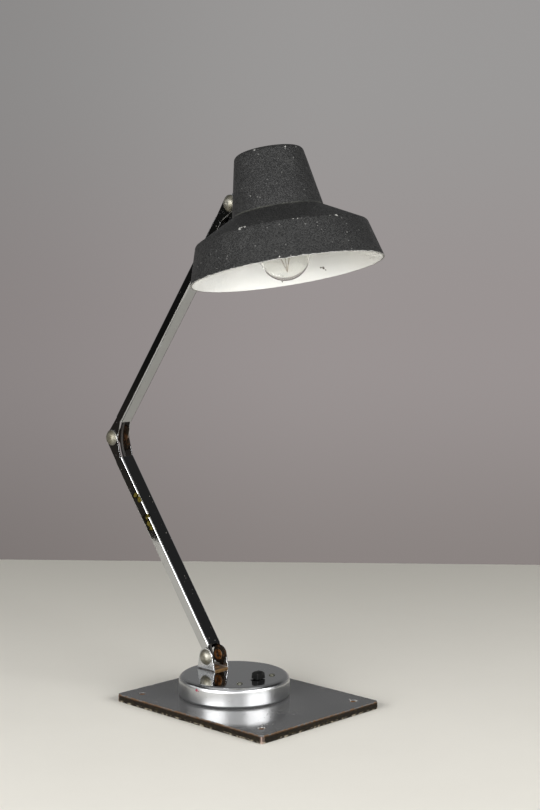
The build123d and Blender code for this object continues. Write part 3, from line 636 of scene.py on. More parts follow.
def black_plastic():
    """Moulded black plastic, worn a little grey."""
    return two_tone("black_plastic", BLACK_PLASTIC, (0.36, 0.55), 300.0, (0.45, 0.75), 1500.0, 0.1,
                    Specular_IOR_Level=LOW_SPECULAR)


def crinkle_paint(chips):
    """Black crinkle enamel: fine wrinkles with painted light on the ridges and painted shade in the valleys,
    pale specks, bare metal at its edges and chips.
    """
    material, w, shader = finish("crinkle_paint", Specular_IOR_Level=0.3)
    at = w.place()
    spot = w.use(SHADE_PLACE, vector=at)
    drift = w.noise(at, 500.0, output="Color")
    bent = w.vector("ADD", at, w.scaled(drift, WRINKLE_DRIFT))
    folds = w.math("ABSOLUTE", w.math("SUBTRACT", w.noise(bent, 800.0, 2.0, 0.5), 0.5))
    ridge = w.ramp(folds, 0.13, 0.0)
    grit = w.noise(at, 1500.0, 2.0, 0.6)
    # Painted light and shade: the raised wrinkles are coloured lighter and the valleys darker.
    lit_crest = w.colour(blotch_mask(w, at, 48.0, 0.36, 0.72), *PAINT_CREST_LIGHT)
    lit_share = w.ramp(w.math("ADD", ridge, w.math("SUBTRACT", grit, 0.5)), 0.0, 1.0)
    paint = w.colour(lit_share, PAINT_VALLEY_SHADE, lit_crest)
    specks = speck_mask(w, at, 620.0, 0.36, 0.07)
    paint = w.colour(w.math("MULTIPLY", specks, 0.55), paint, PAINT_SPECK)
    turn_in = CROWN_WEAR_SHARE * CROWN_ROUND
    from_side = w.math("ABSOLUTE", w.math("SUBTRACT", spot["Radius"], CROWN_TOP_RADIUS - turn_in))
    from_top = w.math("ABSOLUTE", w.math("SUBTRACT", spot["Height"], SHADE_HEIGHT - turn_in))
    from_skirt = w.math("SUBTRACT", spot["Height"], SKIRT_HEIGHT)
    rubbed = spots(w, at, chips)
    for distance, width, amount in (
        (spot["Height"], RIM_WEAR, 0.9),
        (w.math("ADD", from_side, from_top), CROWN_WEAR, 0.42),
        (from_skirt, SHOULDER_WEAR, 0.30),
    ):
        rubbed = w.math("MAXIMUM", rubbed, worn_mask(w, at, distance, width, PAINT_WEAR_SCALE, amount))
    from_neck = w.math("ABSOLUTE", w.math("SUBTRACT", spot["Height"], FLARE_HEIGHT))
    neck_line = w.ramp(from_neck, NECK_LINE, NECK_LINE_FULL)
    neck_line = w.math("MULTIPLY", neck_line, w.ramp(w.noise(at, 160.0), 0.38, 0.62, 0.1, 0.6))
    paint = w.colour(neck_line, paint, NECK_DUST)
    metal = w.colour(w.noise(at, 700.0), *BARE_SHEET)
    w.plug(shader["Base Color"], w.colour(rubbed, paint, metal))
    w.plug(shader["Roughness"], w.value(ridge, 0.62, 0.43))
    w.plug(shader["Normal"], w.bump(w.math("ADD", ridge, grit), 0.8, 0.2 * MM))
    return material


def white_enamel(nicks):
    """White stove enamel inside the shade, a little yellowed, with a few dark nicks."""
    material, w, shader = finish("white_enamel", Coat_Weight=0.3, Coat_Roughness=0.15)
    at = w.place()
    aged = blotch_mask(w, at, 26.0, 0.35, 0.8)
    dark = w.math("MAXIMUM", speck_mask(w, at, 130.0, 0.05, 0.1), spots(w, at, nicks))
    w.plug(shader["Base Color"], w.colour(dark, w.colour(aged, *ENAMEL), ENAMEL_NICK))
    w.plug(shader["Roughness"], w.value(aged, 0.28, 0.42))
    w.plug(shader["Normal"], w.bump(w.noise(at, 160.0), 0.08, 0.4 * MM))
    return material


def black_laminate(chips):
    """Black laminate: dust, smears and hairlines, a tan worn edge, pale breaks round the screw holes."""
    material, w, shader = finish("black_laminate", IOR=1.55)
    at = w.place()
    spot = w.use(BOARD_PLACE, vector=at)
    smear = blotch_mask(w, at, 42.0, 0.4, 0.75)
    dust = speck_mask(w, at, 420.0, 0.16, 0.10)
    lines = scratch_mask(w, at, (0.35, 1.0, 1.0), 160.0)
    marks = w.math("MAXIMUM", dust, w.math("MULTIPLY", lines, 0.4))
    sheet = w.colour(w.math("MULTIPLY", marks, 0.7), w.colour(smear, *LAMINATE_SHEET), LAMINATE_DUST)
    worn = worn_mask(w, at, spot["Edge"], LAMINATE_WEAR, 420.0, 0.86)
    sheet = w.colour(worn, sheet, w.colour(w.noise(at, 340.0), *LAMINATE_EDGE))
    broken = worn_mask(w, at, spot["Hole"], HOLE_WEAR, 520.0, 0.72)
    broken = w.math("MAXIMUM", broken, spots(w, at, chips))
    w.plug(shader["Base Color"], w.colour(broken, sheet, LAMINATE_BREAK))
    rough = w.math("MAXIMUM", w.math("MULTIPLY", w.math("MAXIMUM", smear, marks), 0.12),
                   w.math("MULTIPLY", w.math("MAXIMUM", worn, broken), 0.6))
    w.plug(shader["Roughness"], w.math("ADD", 0.10, rough))
    w.plug(shader["Normal"], w.bump(w.noise(at, 260.0, 2.0), 0.03, 0.3 * MM))
    return material


def board_core():
    """Dark hardboard: fibrous near-black edge, pale crumbs low down, orange hole walls, two worn corners."""
    material, w, shader = finish("dark_hardboard", Specular_IOR_Level=0.1)
    at = w.place()
    spot = w.use(BOARD_PLACE, vector=at)
    height = w.parts(at)["Z"]
    fibre = w.noise(w.vector("MULTIPLY", at, (1.0, 1.0, 6.0)), 380.0, 5.0, 0.65)
    wood = w.colour(w.ramp(fibre, 0.35, 0.7), *HARDBOARD)
    torn = blotch_mask(w, at, 360.0, 0.55, 0.62)
    wood = w.colour(w.math("MULTIPLY", torn, 0.8), wood, HARDBOARD_TORN)
    crumbs = blotch_mask(w, at, 430.0, 0.52, 0.57)
    crumbs = w.math("MULTIPLY", crumbs, w.ramp(height, CRUMB_TOP, CRUMB_FULL))
    wood = w.colour(crumbs, wood, HARDBOARD_CRUMB)
    upper = w.ramp(height, BOARD_CORE - TOP_BAND, BOARD_CORE - TOP_BAND_FULL)
    wood = w.colour(w.math("MULTIPLY", upper, w.noise(at, 300.0)), wood, HARDBOARD_TOP)
    wall = w.ramp(spot["Hole"], HOLE_WALL, HOLE_WALL_FULL)
    wood = w.colour(wall, wood, w.colour(fibre, *HARDBOARD_HOLE))
    corner = 0.0
    for place in (FRONT_CORNER, LEFT_CORNER):
        away = w.vector("MULTIPLY", w.vector("SUBTRACT", at, tuple(place)), ON_PLAN)
        near = w.ramp(w.vector("LENGTH", away, output="Value"), CORNER_WEAR, CORNER_WEAR_FULL)
        corner = w.math("MAXIMUM", corner, near)
    streak = w.ramp(w.noise(w.vector("MULTIPLY", at, (1.0, 1.0, 0.1)), 900.0), 0.36, 0.6)
    corner = w.math("MULTIPLY", corner, streak)
    w.plug(shader["Base Color"], w.colour(corner, wood, HARDBOARD_CORNER))
    w.plug(shader["Roughness"], w.value(torn, 0.6, 0.85))
    w.plug(shader["Normal"], w.bump(w.math("ADD", fibre, torn), 0.7, 0.4 * MM))
    return material


def clear_glass():
    """Clear blown glass with a little dust; light falls through it."""
    material, w, shader = finish("clear_glass", Transmission_Weight=1.0, IOR=1.46)
    at = w.place()
    film = blotch_mask(w, at, 90.0, 0.5, 0.85)
    w.plug(shader["Base Color"], w.colour(film, *GLASS))
    w.plug(shader["Roughness"], w.value(film, 0.0, 0.05))
    shadow = w.node("ShaderNodeLightPath").outputs["Is Shadow Ray"]
    clear = w.node("ShaderNodeBsdfTransparent", {"Color": grey(0.96)}).outputs[0]
    solid = material.node_tree.nodes["Principled BSDF"].outputs[0]
    both = w.node("ShaderNodeMixShader", {0: shadow, 1: solid, 2: clear}).outputs[0]
    w.plug(material.node_tree.nodes["Material Output"].inputs["Surface"], both)
    return material


# Mesh making


def piece(name, mesh, body, material, slot, *nodes):
    """A finished piece: its mesh is in the frame, and it may ride on a body and stand for CAD nodes."""
    made = bpy.data.objects.new(name, mesh)
    bpy.context.scene.collection.objects.link(made)
    mesh.materials.clear()
    mesh.materials.append(material)
    if body:
        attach(made, body)
    if nodes:
        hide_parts(*nodes)
    return made


def mesh_from(bm, name, sharp_angle=SMOOTH_ANGLE):
    """Finished mesh with smooth faces, and sharp edges where they turn by more than an angle."""
    bmesh.ops.recalc_face_normals(bm, faces=bm.faces)
    mesh = bpy.data.meshes.new(name)
    bm.to_mesh(mesh)
    bm.free()
    mesh.shade_smooth()
    mesh.set_sharp_from_angle(angle=sharp_angle)
    return mesh


def seen_on(mesh, marks):
    """Where marks of the photograph lie on a mesh, as centres and sizes."""
    points = [vertex.co for vertex in mesh.vertices]
    faces = [face.vertices for face in mesh.polygons]
    tree = BVHTree.FromPolygons(points, faces)
    focal = LENS / SENSOR * PHOTO_HEIGHT
    found = []
    for across, down, size in marks:
        way = AHEAD * focal + RIGHT * (across - PHOTO_WIDTH / 2) - ABOVE * (down - PHOTO_HEIGHT / 2)
        spot = tree.ray_cast(EYE, way.normalized())[0]
        if spot is None:
            raise ValueError(f"no mark on {mesh.name} at {across}, {down}")
        found.append((tuple(spot), size * MM))
    return found


def rounded(corners, turns=8):
    """Polyline of (radius, height) points whose corners are rounded to the third value."""
    points = []
    for index, (x, y, radius) in enumerate(corners):
        here = Vector((x, y))
        if radius == 0 or index in (0, len(corners) - 1):
            points.append(here)
            continue
        back = (Vector(corners[index - 1][:2]) - here).normalized()
        ahead = (Vector(corners[index + 1][:2]) - here).normalized()
        half = back.angle(ahead) / 2
        centre = here + (back + ahead).normalized() * (radius / math.sin(half))
        first = here + back * (radius / math.tan(half)) - centre
        last = here + ahead * (radius / math.tan(half)) - centre
        sweep = first.angle_signed(last)
        for turn in range(turns + 1):
            points.append(centre + Matrix.Rotation(-sweep * turn / turns, 2) @ first)
    return points


def spaced(points, step):
    """The same polyline with its long runs divided."""
    made = [points[0]]
    for first, last in zip(points, points[1:]):
        count = max(1, math.ceil((last - first).length / step))
        made += [first.lerp(last, (index + 1) / count) for index in range(count)]
    return made


def on_shade(radius, angle, height):
    """Point about the shade's axis, in the frame."""
    across = SHADE_OUT * math.cos(angle) + SIDEWAYS * math.sin(angle)
    return RIM_CENTRE + across * radius + SHADE_UP * height


def dented(point):
    """A point of thin spun sheet, pressed in by shallow dents."""
    depth = noise.noise(point / DENT_SPREAD) + SMALL_DENT_SHARE * noise.noise(point / SMALL_DENT_SPREAD)
    outward = point - RIM_CENTRE
    outward -= SHADE_UP * outward.dot(SHADE_UP)
    if outward.length < MM:
        return point
    return point - outward.normalized() * (max(0.0, depth) * DENT_DEPTH)


def spun(name, profile, turns):
    """Closed mesh of a profile spun about the shade's axis; points on the axis become poles."""
    bm = bmesh.new()
    rings = []
    for spot in profile:
        if spot.x < ON_AXIS:
            rings.append([bm.verts.new(dented(on_shade(0, 0, spot.y)))])
        else:
            angles = [2 * math.pi * turn / turns for turn in range(turns)]
            rings.append([bm.verts.new(dented(on_shade(spot.x, angle, spot.y))) for angle in angles])
    for below, above in zip(rings, rings[1:]):
        for turn in range(turns):
            after = (turn + 1) % turns
            corners = [below[turn % len(below)], below[after % len(below)],
                       above[after % len(above)], above[turn % len(above)]]
            corners = list(dict.fromkeys(corners))
            if len(corners) > 2:
                bm.faces.new(corners)
    return mesh_from(bm, name, SPUN_ANGLE)


# Section of the shade's outside, from the rim to the axis, as radius, height and rounding.
# A rounding below nil is that of a hollow corner.
SHADE_SECTION = (
    (RIM_RADIUS, 0.0, 0.0),
    (SHOULDER_RADIUS, SKIRT_HEIGHT, SHOULDER_ROUND),
    (CROWN_BASE_RADIUS, FLARE_HEIGHT, -NECK_ROUND),
    (CROWN_TOP_RADIUS, SHADE_HEIGHT, CROWN_ROUND),
    (0.0, SHADE_HEIGHT, 0.0),
)


def shade_corners(inset):
    """Corners of the shade's section with every side set in by the same amount."""
    ends = [Vector(corner[:2]) for corner in SHADE_SECTION]
    inward = [(last - first).normalized().orthogonal() for first, last in zip(ends, ends[1:])]
    corners = [(RIM_RADIUS + inset / inward[0].x, 0.0, 0.0)]
    for (x, y, radius), before, after in zip(SHADE_SECTION[1:], inward, inward[1:]):
        spot = Vector((x, y)) + (before + after) * (inset / (1 + before.dot(after)))
        bend = abs(radius - inset) if radius < 0 else radius - inset
        corners.append((spot.x, spot.y, max(bend, LEAST_ROUND)))
    return corners + [(0.0, SHADE_HEIGHT - inset, 0.0)]


def shade_shell(name, outer, inner):
    """Closed thin shell between two insets, open at the rim, with a softened rim edge."""
    outside = spaced(rounded(shade_corners(outer)), SHADE_STEP)
    inside = spaced(rounded(shade_corners(inner)), SHADE_STEP)
    edge = min(RIM_ROUND, (inner - outer) / 2)
    lip_out = [outside[0] + Vector((0, edge))]
    lip_in = [inside[0] + Vector((0, edge))]
    step = edge * LIP_INSET_SHARE
    rise = edge * LIP_RISE_SHARE
    rim_out = Vector((outside[0].x - step, rise))
    rim_in = Vector((inside[0].x + step, rise))
    loop = [rim_out] + lip_out + outside[1:] + list(reversed(inside[1:])) + lip_in + [rim_in, rim_out]
    return spun(name, loop, SHADE_TURNS)


def keen_edges(bm, least):
    """Edges where two faces turn by more than an angle."""
    return [edge for edge in bm.edges if len(edge.link_faces) == 2 and edge.calc_face_angle() > least]


def break_edges(bm, edges, width, clamp=False):
    """Rounds edges off narrowly."""
    bmesh.ops.bevel(bm, geom=edges, offset=width, offset_type="OFFSET", segments=2, profile=0.5,
                    affect="EDGES", clamp_overlap=clamp)


def softened(name, node, width):
    """Mesh of a CAD node with its sharp edges broken."""
    bm = bmesh.new()
    bm.from_mesh(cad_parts[node].data)
    for layer in list(bm.loops.layers.float_vector):
        bm.loops.layers.float_vector.remove(layer)
    bmesh.ops.remove_doubles(bm, verts=bm.verts, dist=WELD)
    bmesh.ops.dissolve_limit(bm, angle_limit=FLAT_ANGLE, verts=bm.verts, edges=bm.edges)
    break_edges(bm, keen_edges(bm, KEEN_ANGLE), width, clamp=True)
    mesh = mesh_from(bm, name, SHEET_ANGLE)
    if "custom_normal" in mesh.attributes:
        mesh.attributes.remove(mesh.attributes["custom_normal"])
    return mesh


def even_normals(made):
    """Lets large faces set the shading, so that flat sheet stays flat."""
    modifier = made.modifiers.new("even_normals", "WEIGHTED_NORMAL")
    modifier.keep_sharp = True


def curve_mesh(name, routes, radius, smooth):
    """Mesh of round wires along routes: smooth ones as splines that the points steer."""
    line = bpy.data.curves.new(name, "CURVE")
    line.dimensions = "3D"
    line.bevel_depth = radius
    line.bevel_resolution = 4
    line.use_fill_caps = True
    for route in routes:
        spline = line.splines.new("NURBS" if smooth else "POLY")
        spline.points.add(len(route) - 1)
        for point, spot in zip(spline.points, route):
            point.co = (*spot, 1.0)
        if smooth:
            spline.order_u = 3
            spline.use_endpoint_u = True
            spline.resolution_u = 10
    holder = bpy.data.objects.new(name + "_route", line)
    bpy.context.scene.collection.objects.link(holder)
    mesh = bpy.data.meshes.new_from_object(holder.evaluated_get(bpy.context.evaluated_depsgraph_get()))
    bpy.data.objects.remove(holder)
    bpy.data.curves.remove(line)
    mesh.name = name
    mesh.shade_smooth()
    return mesh


# Shade and bulb


def make_shade():
    skin = shade_shell("shade_skin", 0.0, SHADE_WALL)
    paint = crinkle_paint(seen_on(skin, PAINT_CHIPS))
    piece("shade_skin", skin, "head", paint, "crinkle_black", "shade_shell")
    depth = SHADE_WALL + LINING_GAP
    lining = shade_shell("shade_lining", depth, depth + LINING_WALL)
    enamel = white_enamel(seen_on(lining, ENAMEL_NICKS))
    piece("shade_lining", lining, "head", enamel, "white_enamel", "shade_reflector")


def make_filament():
    """Two lead-in wires and a support from the stem, and a coiled filament hung between them in a V."""
    wires = []
    coils = []
    for side in (-1, 1):
        foot = on_shade(side * STEM_FOOT_HALF, 0, STEM_TIP_HEIGHT)
        knee = on_shade(side * STEM_FOOT_HALF * KNEE_SPREAD, 0, STEM_TIP_HEIGHT - KNEE_DROP)
        hook = on_shade(side * FILAMENT_HALF, 0, FILAMENT_TOP)
        wires.append([foot, knee, hook, hook - SHADE_UP * HOOK_LENGTH])
        low = on_shade(0, 0, FILAMENT_FOOT)
        across = (low - hook).normalized().cross(SIDEWAYS).normalized()
        steps = COIL_TURNS * COIL_STEPS
        coil = []
        for step in range(steps + 1):
            turn = 2 * math.pi * step / COIL_STEPS
            swing = across * math.cos(turn) + SIDEWAYS * math.sin(turn)
            coil.append(hook.lerp(low, step / steps) + swing * COIL_RADIUS)
        coils.append(coil)
    wires.append([on_shade(0, 0, STEM_TIP_HEIGHT), on_shade(0, 0, FILAMENT_FOOT - SUPPORT_OVERRUN)])
    wire = worn_metal("bulb_wire", BULB_WIRE, (0.35, 0.55), 500.0)
    supports = curve_mesh("filament_supports", wires, LEAD_IN_RADIUS, False)
    piece("filament_supports", supports, "head", wire, "tungsten", "bulb_filament")
    piece("filament_coil", curve_mesh("filament_coil", coils, COIL_WIRE, False), "head", wire, "tungsten")


# Base


def board_outline(inset, chip_depth, seed):
    """Rounded rectangle, nibbled at its edge."""
    half_x = BOARD_LENGTH / 2 - inset
    half_y = BOARD_WIDTH / 2 - inset
    points = []
    for turn, (sign_x, sign_y) in enumerate(((1, 1), (-1, 1), (-1, -1), (1, -1))):
        centre = Vector((sign_x * (half_x - BOARD_CORNER), sign_y * (half_y - BOARD_CORNER)))
        for step in range(BOARD_CORNER_STEPS + 1):
            angle = math.pi / 2 * (turn + step / BOARD_CORNER_STEPS)
            points.append(centre + BOARD_CORNER * Vector((math.cos(angle), math.sin(angle))))
    points = spaced(points + points[:1], BOARD_EDGE_STEP)[:-1]
    nibbled = []
    for point in points:
        place = Vector((point.x, point.y, seed))
        bite = max(0.0, noise.noise(place / BITE_SPREAD) - BITE_LEVEL) * BITE_GAIN
        bite += CRUMBLE * abs(noise.noise(place / CRUMBLE_SPREAD))
        nibbled.append(point * (1 - bite * chip_depth / point.length))
    return nibbled


def ring(centre, radius, break_up=0.0):
    """Round hole's outline, its radius broken up by a share."""
    points = []
    for step in range(HOLE_TURNS):
        angle = 2 * math.pi * step / HOLE_TURNS
        way = Vector((math.cos(angle), math.sin(angle)))
        spot = centre + way * radius
        rough = 1 + break_up * noise.noise(Vector((spot.x, spot.y, break_up)) / HOLE_BREAK_SPREAD)
        points.append(centre + way * radius * rough)
    return points


def screw_holes(radius, break_up, low, high):
    """The board's four screw holes, as bores of a plate."""
    bores = []
    for sign_x in (-1, 1):
        for sign_y in (-1, 1):
            hole = ring(Vector((sign_x * HOLE_PLACE.x, sign_y * HOLE_PLACE.y)), radius, break_up)
            bores.append([(hole, low), (hole, high)])
    return bores


def drum_bores(high):
    """Counterbored holes for the two screws that hold the drum, as bores of a plate from the underside."""
    bores = []
    for side in (-1, 1):
        centre = Vector((DRUM_CENTRE.x, side * DRUM_SCREW_OFFSET))
        head = ring(centre, DRUM_SCREW_HEAD)
        shank = ring(centre, DRUM_SCREW_SHANK)
        bores.append([(head, 0.0), (head, DRUM_SCREW_DEPTH), (shank, DRUM_SCREW_DEPTH), (shank, high)])
    return bores


def plate(name, outline, bores, low, high, bevel):
    """Flat sheet with broken edges. A bore is a stack of rings with their heights, from below to above."""
    bm = bmesh.new()
    lower = []
    upper = []
    for stack in [[(outline, low), (outline, high)]] + bores:
        rings = [[bm.verts.new((spot.x, spot.y, height)) for spot in loop] for loop, height in stack]
        for below, above in zip(rings, rings[1:]):
            for turn in range(len(below)):
                bm.faces.new((below[turn - 1], below[turn], above[turn], above[turn - 1]))
        lower.append(rings[0])
        upper.append(rings[-1])
    for loops in (lower, upper):
        edges = [bm.edges.get((loop[turn - 1], loop[turn])) for loop in loops for turn in range(len(loop))]
        bmesh.ops.triangle_fill(bm, edges=edges, use_beauty=True, use_dissolve=False)
    bmesh.ops.recalc_face_normals(bm, faces=bm.faces)
    keen = [edge for edge in keen_edges(bm, PLATE_KEEN_ANGLE)
            if abs(edge.verts[0].co.z - edge.verts[1].co.z) < LEVEL]
    break_edges(bm, keen, bevel)
    return mesh_from(bm, name, SHEET_ANGLE)


def make_board():
    holes = screw_holes(BOARD_HOLE_RADIUS, CORE_HOLE_BREAK, 0.0, BOARD_CORE) + drum_bores(BOARD_CORE)
    outline = board_outline(0.0, CORE_CHIP, CORE_SEED)
    core = plate("board_slab", outline, holes, 0.0, BOARD_CORE, CORE_BEVEL)
    even_normals(piece("board_slab", core, "base", board_core(), "board_core", "base_board"))
    top = BOARD_CORE + LAMINATE
    holes = screw_holes(BOARD_HOLE_RADIUS * SHEET_HOLE_SHARE, SHEET_HOLE_BREAK, BOARD_CORE, top)
    for bore in drum_bores(top):
        shank = bore[-1][0]
        holes.append([(shank, BOARD_CORE), (shank, top)])
    outline = board_outline(SHEET_INSET, SHEET_CHIP, SHEET_SEED)
    sheet = plate("laminate_sheet", outline, holes, BOARD_CORE, top, SHEET_BEVEL)
    laminate = black_laminate(seen_on(sheet, LAMINATE_CHIPS))
    even_normals(piece("laminate_sheet", sheet, "base", laminate, "black_laminate", "board_laminate"))


# Arms, clevis, bracket and knob


def make_metalwork(plastic):
    lower = softened("lower_tube", "lower_arm", ARM_BEVEL)
    upper = softened("upper_tube", "upper_arm", ARM_BEVEL)
    clevis = softened("clevis_plate", "base_clevis", BRACKET_BEVEL)
    bracket = softened("crown_bracket", "head_bracket", BRACKET_BEVEL)
    base_ears = (BASE_PIVOT, BASE_REACH)
    elbow_ears = (ELBOW_PIVOT, ELBOW_REACH)
    head_ears = (HEAD_PIVOT, HEAD_REACH)
    lower_chrome = chrome("lower_chrome", 0.60, rust=0.35, half=inner_half("lower_arm"),
                          pivots=(base_ears, elbow_ears), stains=seen_on(lower, ARM_STAINS))
    upper_chrome = chrome("upper_chrome", 0.50, rust=0.2, half=inner_half("upper_arm"),
                          pivots=(elbow_ears, head_ears), far_fold_shade=True)
    clevis_chrome = chrome("clevis_chrome", 0.66, rust=0.3, haze=0.6, shine=0.26,
                           half=inner_half("base_clevis"), pivots=(base_ears,), floor=CLEVIS_FOOT)
    bracket_chrome = chrome("bracket_chrome", 0.45, rust=0.5, haze=0.9, shine=0.2,
                            half=inner_half("head_bracket"), pivots=(head_ears,))
    for mesh, node, body, material in (
        (lower, "lower_arm", "lower", lower_chrome),
        (upper, "upper_arm", "upper", upper_chrome),
        (clevis, "base_clevis", "base", clevis_chrome),
        (bracket, "head_bracket", "head", bracket_chrome),
    ):
        even_normals(piece(mesh.name, mesh, body, material, "mirror_chrome", node))
    knob = softened("slide_knob", "switch_knob", KNOB_BEVEL)
    even_normals(piece("slide_knob", knob, "knob", plastic, "black_plastic", "switch_knob"))


# Leads that bend at the pivots


def make_leads(covering):
    for name, node, first, last, places in (
        ("base_flex", "base_lead", "base", "lower", BASE_ROUTE),
        ("elbow_flex", "elbow_lead", "lower", "upper", ELBOW_ROUTE),
        ("head_flex", "head_lead", "upper", "head", HEAD_ROUTE),
    ):
        route = [Vector((x * MM, 0, z * MM)) for x, z in places]
        mesh = curve_mesh(name, [route], LEAD_RADIUS, True)
        made = piece(name, mesh, None, covering, "lead_insulation", node)
        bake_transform(made)


# Finishes of the CAD nodes that stay


def dress(material, *nodes):
    for node in nodes:
        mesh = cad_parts[node].data
        mesh.materials.clear()
        mesh.materials.append(material)


def dress_nodes(plastic, covering):
    # Small red spots on the drum's shoulder.
    drum_marks = seen_on(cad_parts["base_drum"].data, DRUM_RED_SPOTS)
    drum = chrome("drum_chrome", 0.58, rust=0.02, haze=0.12, shine=0.085, stains=drum_marks, stain=RED_SPOT,
                  satin=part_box("base_drum")[1].z - SATIN_DROP)
    dress(drum, "base_drum")
    dress(nickel("nickel_on_orange_rust", ORANGE_RUST), "base_pivot_rivets")
    dress(nickel("nickel_on_brown_rust", RUST), "elbow_rivets", "head_rivets")
    dress(worn_metal("tarnished_brass", BRASS, (0.22, 0.5), 220.0),
          "bulb_cap", "lamp_socket", "socket_contact", "switch_terminals")
    dress(worn_metal("zinc_plate", ZINC, (0.32, 0.5), 150.0),
          "drum_floor", "drum_screws", "bracket_rivets", "socket_strap")
    dress(worn_metal("dull_steel", DULL_STEEL, (0.22, 0.4), 500.0), "switch_rivets")
    dress(rusty_steel(), "clevis_eyelet")
    dress(plastic, "switch_body")
    dress(plain_grained("brown_insulator", INSULATOR, (0.45, 0.6), 300.0), "socket_insulator")
    dress(plain_grained("black_rubber", RUBBER, (0.6, 0.8), 250.0), "cord_bushing")
    dress(clear_glass(), "bulb_globe", "bulb_stem")
    dress(covering, "lower_lead", "upper_lead", "socket_lead")


PLASTIC = black_plastic()
COVERING = plain_grained("lead_covering", LEAD_COVERING, (0.6, 0.75), 350.0)
make_shade()
make_filament()
make_board()
make_metalwork(PLASTIC)
make_leads(COVERING)
dress_nodes(PLASTIC, COVERING)


# Camera, floor, lights and world

FLOOR_HALF_WIDTH = 0.58
FLOOR_BEHIND = 0.461
FLOOR_BEFORE = 0.34
FLOOR_TURN = math.radians(-3.0)
FLOOR_DROP = 0.3 * MM
TABLE = ((0.79, 0.765, 0.70), (0.77, 0.745, 0.68))
TABLE_FAR_SHADE = (0.68, 0.655, 0.59)
TABLE_SHADE_START = -0.1
TABLE_SHADE_AMOUNT = 0.75
WALL = ((0.320, 0.290, 0.287), (0.325, 0.316, 0.312))
WALL_FOOT_SHADE = (0.249, 0.223, 0.214)
WALL_SIDE_SHADE = 0.22
WALL_LIT = 0.20
ROOM = 0.024
ROOM_LEFT = ((0.010, 0.010, 0.009), (0.028, 0.025, 0.022))
CEILING = 0.18
OVERHEAD_GLOW = 0.70
OVERHEAD_LEAN = 0.18
FILL = 0.08
NEAR_CLIP = 0.01
LIGHT_DISTANCE = 1.5
FACING = Vector((-AHEAD.x, -AHEAD.y, 0)).normalized()
OVERHEAD = (FACING * OVERHEAD_LEAN + Vector((0, 0, 1))).normalized()

# Soft boxes: name, turn in degrees from the camera's side, rise, width, height, watts, seen in the chrome
LIGHTS = (
    ("left_box", -39.0, 0.44, 1.2, 0.88, 30.0, True),
    ("right_box", 50.0, 0.56, 1.35, 0.76, 33.5, True),
    ("middle_box", 4.0, 0.34, 1.0, 0.42, 4.5, True),
    ("front_fill", -25.0, 0.40, 1.0, 0.7, 6.5, False),
    ("side_box", -88.0, 0.72, 1.1, 0.56, 2.5, True),
)


def aim(made, spot, towards, above=Vector((0, 0, 1))):
    """Stands a camera or light at a spot, looking along a direction."""
    back = -towards.normalized()
    across = above.cross(back).normalized()
    turned = Matrix((across, back.cross(across), back)).transposed()
    made.matrix_world = Matrix.Translation(spot) @ turned.to_4x4()
    bpy.context.scene.collection.objects.link(made)


def make_camera():
    camera = bpy.data.objects.new("photo_camera", bpy.data.cameras.new("photo_camera"))
    camera.data.lens = LENS
    camera.data.sensor_width = SENSOR
    camera.data.clip_start = NEAR_CLIP
    aim(camera, EYE, AHEAD, ABOVE)
    bpy.context.scene.camera = camera


def make_floor():
    """Pale plain table top, nearly square to the camera, with painted shade that darkens it towards the
    back.
    """
    across = Matrix.Rotation(FLOOR_TURN, 3, "Z") @ RIGHT * FLOOR_HALF_WIDTH
    along = Matrix.Rotation(FLOOR_TURN, 3, "Z") @ -FACING
    drop = Vector((0, 0, -FLOOR_DROP))
    bm = bmesh.new()
    before, behind = -FLOOR_BEFORE, FLOOR_BEHIND
    corners = [(-1, before), (1, before), (1, behind), (-1, behind)]
    bm.faces.new([bm.verts.new(across * x + along * y + drop) for x, y in corners])
    mesh = mesh_from(bm, "table_top")
    material, w, shader = finish("pale_table", Roughness=0.9, Specular_IOR_Level=0.0)
    at = w.place()
    pale = w.colour(blotch_mask(w, at, 7.0, 0.3, 0.75), *TABLE)
    # Painted shade: the table top darkens towards the back.
    away = w.vector("DOT_PRODUCT", at, tuple(-FACING), output="Value")
    far_shade = w.ramp(away, TABLE_SHADE_START, FLOOR_BEHIND, 0.0, TABLE_SHADE_AMOUNT)
    w.plug(shader["Base Color"], w.colour(far_shade, pale, TABLE_FAR_SHADE))
    mesh.materials.append(material)
    table = bpy.data.objects.new("table_top", mesh)
    bpy.context.scene.collection.objects.link(table)


def make_light(name, turn, rise, width, height, watts, mirrored):
    """Upright soft box round the lamp, turned away from the camera's side by an angle."""
    light = bpy.data.lights.new(name, "AREA")
    light.shape = "RECTANGLE"
    light.size = width
    light.size_y = height
    light.energy = watts
    box = bpy.data.objects.new(name, light)
    towards = Matrix.Rotation(math.radians(turn), 3, "Z") @ FACING
    aim(box, towards * LIGHT_DISTANCE + Vector((0, 0, rise)), -towards)
    box.visible_camera = False
    box.visible_glossy = mirrored


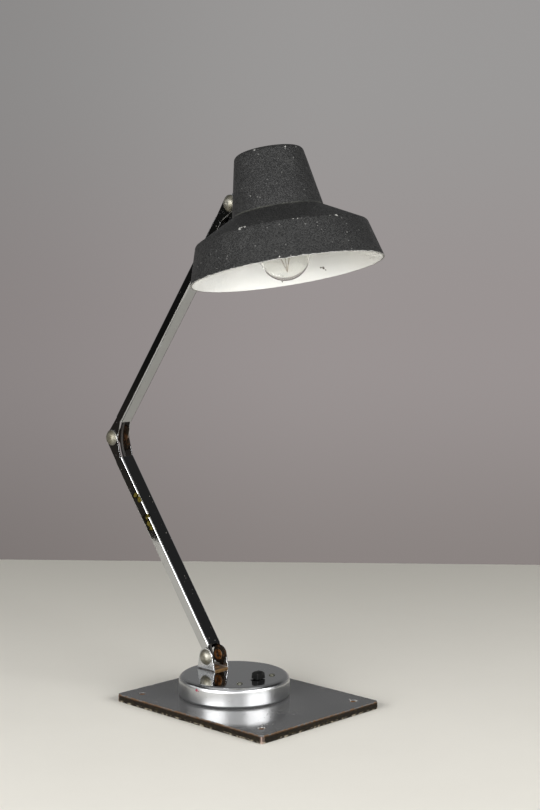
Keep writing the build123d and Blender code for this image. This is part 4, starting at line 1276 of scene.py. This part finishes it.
def make_world():
    """Grey wall for what is seen, that wall in a dark room for what is mirrored, and even fill light."""
    world = bpy.data.worlds.new("studio")
    bpy.context.scene.world = world
    world.use_nodes = True
    w = Wiring(world.node_tree)
    way = w.node("ShaderNodeTexCoord").outputs["Generated"]
    rise = w.parts(way)["Z"]
    side = w.vector("DOT_PRODUCT", way, tuple(RIGHT), output="Value")
    ahead = w.vector("DOT_PRODUCT", way, tuple(-FACING), output="Value")
    # Painted shade on the wall: a little darker low down, darkest at its foot by the table, and darker
    # towards the left.
    wall = w.colour(w.ramp(rise, -0.05, 0.12), *WALL)
    wall = w.colour(w.ramp(rise, -0.215, -0.06), WALL_FOOT_SHADE, wall)
    wall = w.colour(w.ramp(side, -0.22, 0.05), w.colour(WALL_SIDE_SHADE, wall, grey(0.0)), wall)
    left = w.colour(w.ramp(rise, -0.06, -0.11), *ROOM_LEFT)
    room = w.colour(w.ramp(side, -0.2, -0.7), grey(ROOM), left)
    aside = w.math("ABSOLUTE", side)
    ceiling = w.math("MULTIPLY", w.ramp(aside, 0.72, 0.35), w.ramp(ahead, 0.0, 0.3))
    room = w.colour(ceiling, room, grey(CEILING))
    above = w.vector("DOT_PRODUCT", way, tuple(OVERHEAD), output="Value")
    room = w.colour(w.ramp(above, 0.76, 0.90), room, grey(OVERHEAD_GLOW))
    lit = w.math("MULTIPLY", w.ramp(ahead, 0.25, 0.7), w.ramp(rise, 0.62, 0.34))
    room = w.colour(lit, room, w.colour(w.ramp(rise, 0.12, 0.26), wall, grey(WALL_LIT)))
    paths = w.node("ShaderNodeLightPath").outputs
    seen = w.math("MAXIMUM", paths["Is Camera Ray"], paths["Is Transmission Ray"])
    sky = w.colour(paths["Is Glossy Ray"], grey(FILL), room)
    sky = w.colour(seen, sky, wall)
    w.plug(world.node_tree.nodes["Background"].inputs["Color"], sky)


make_camera()
make_floor()
make_world()
for soft_box in LIGHTS:
    make_light(*soft_box)

bpy.context.scene.view_settings.view_transform = "Standard"
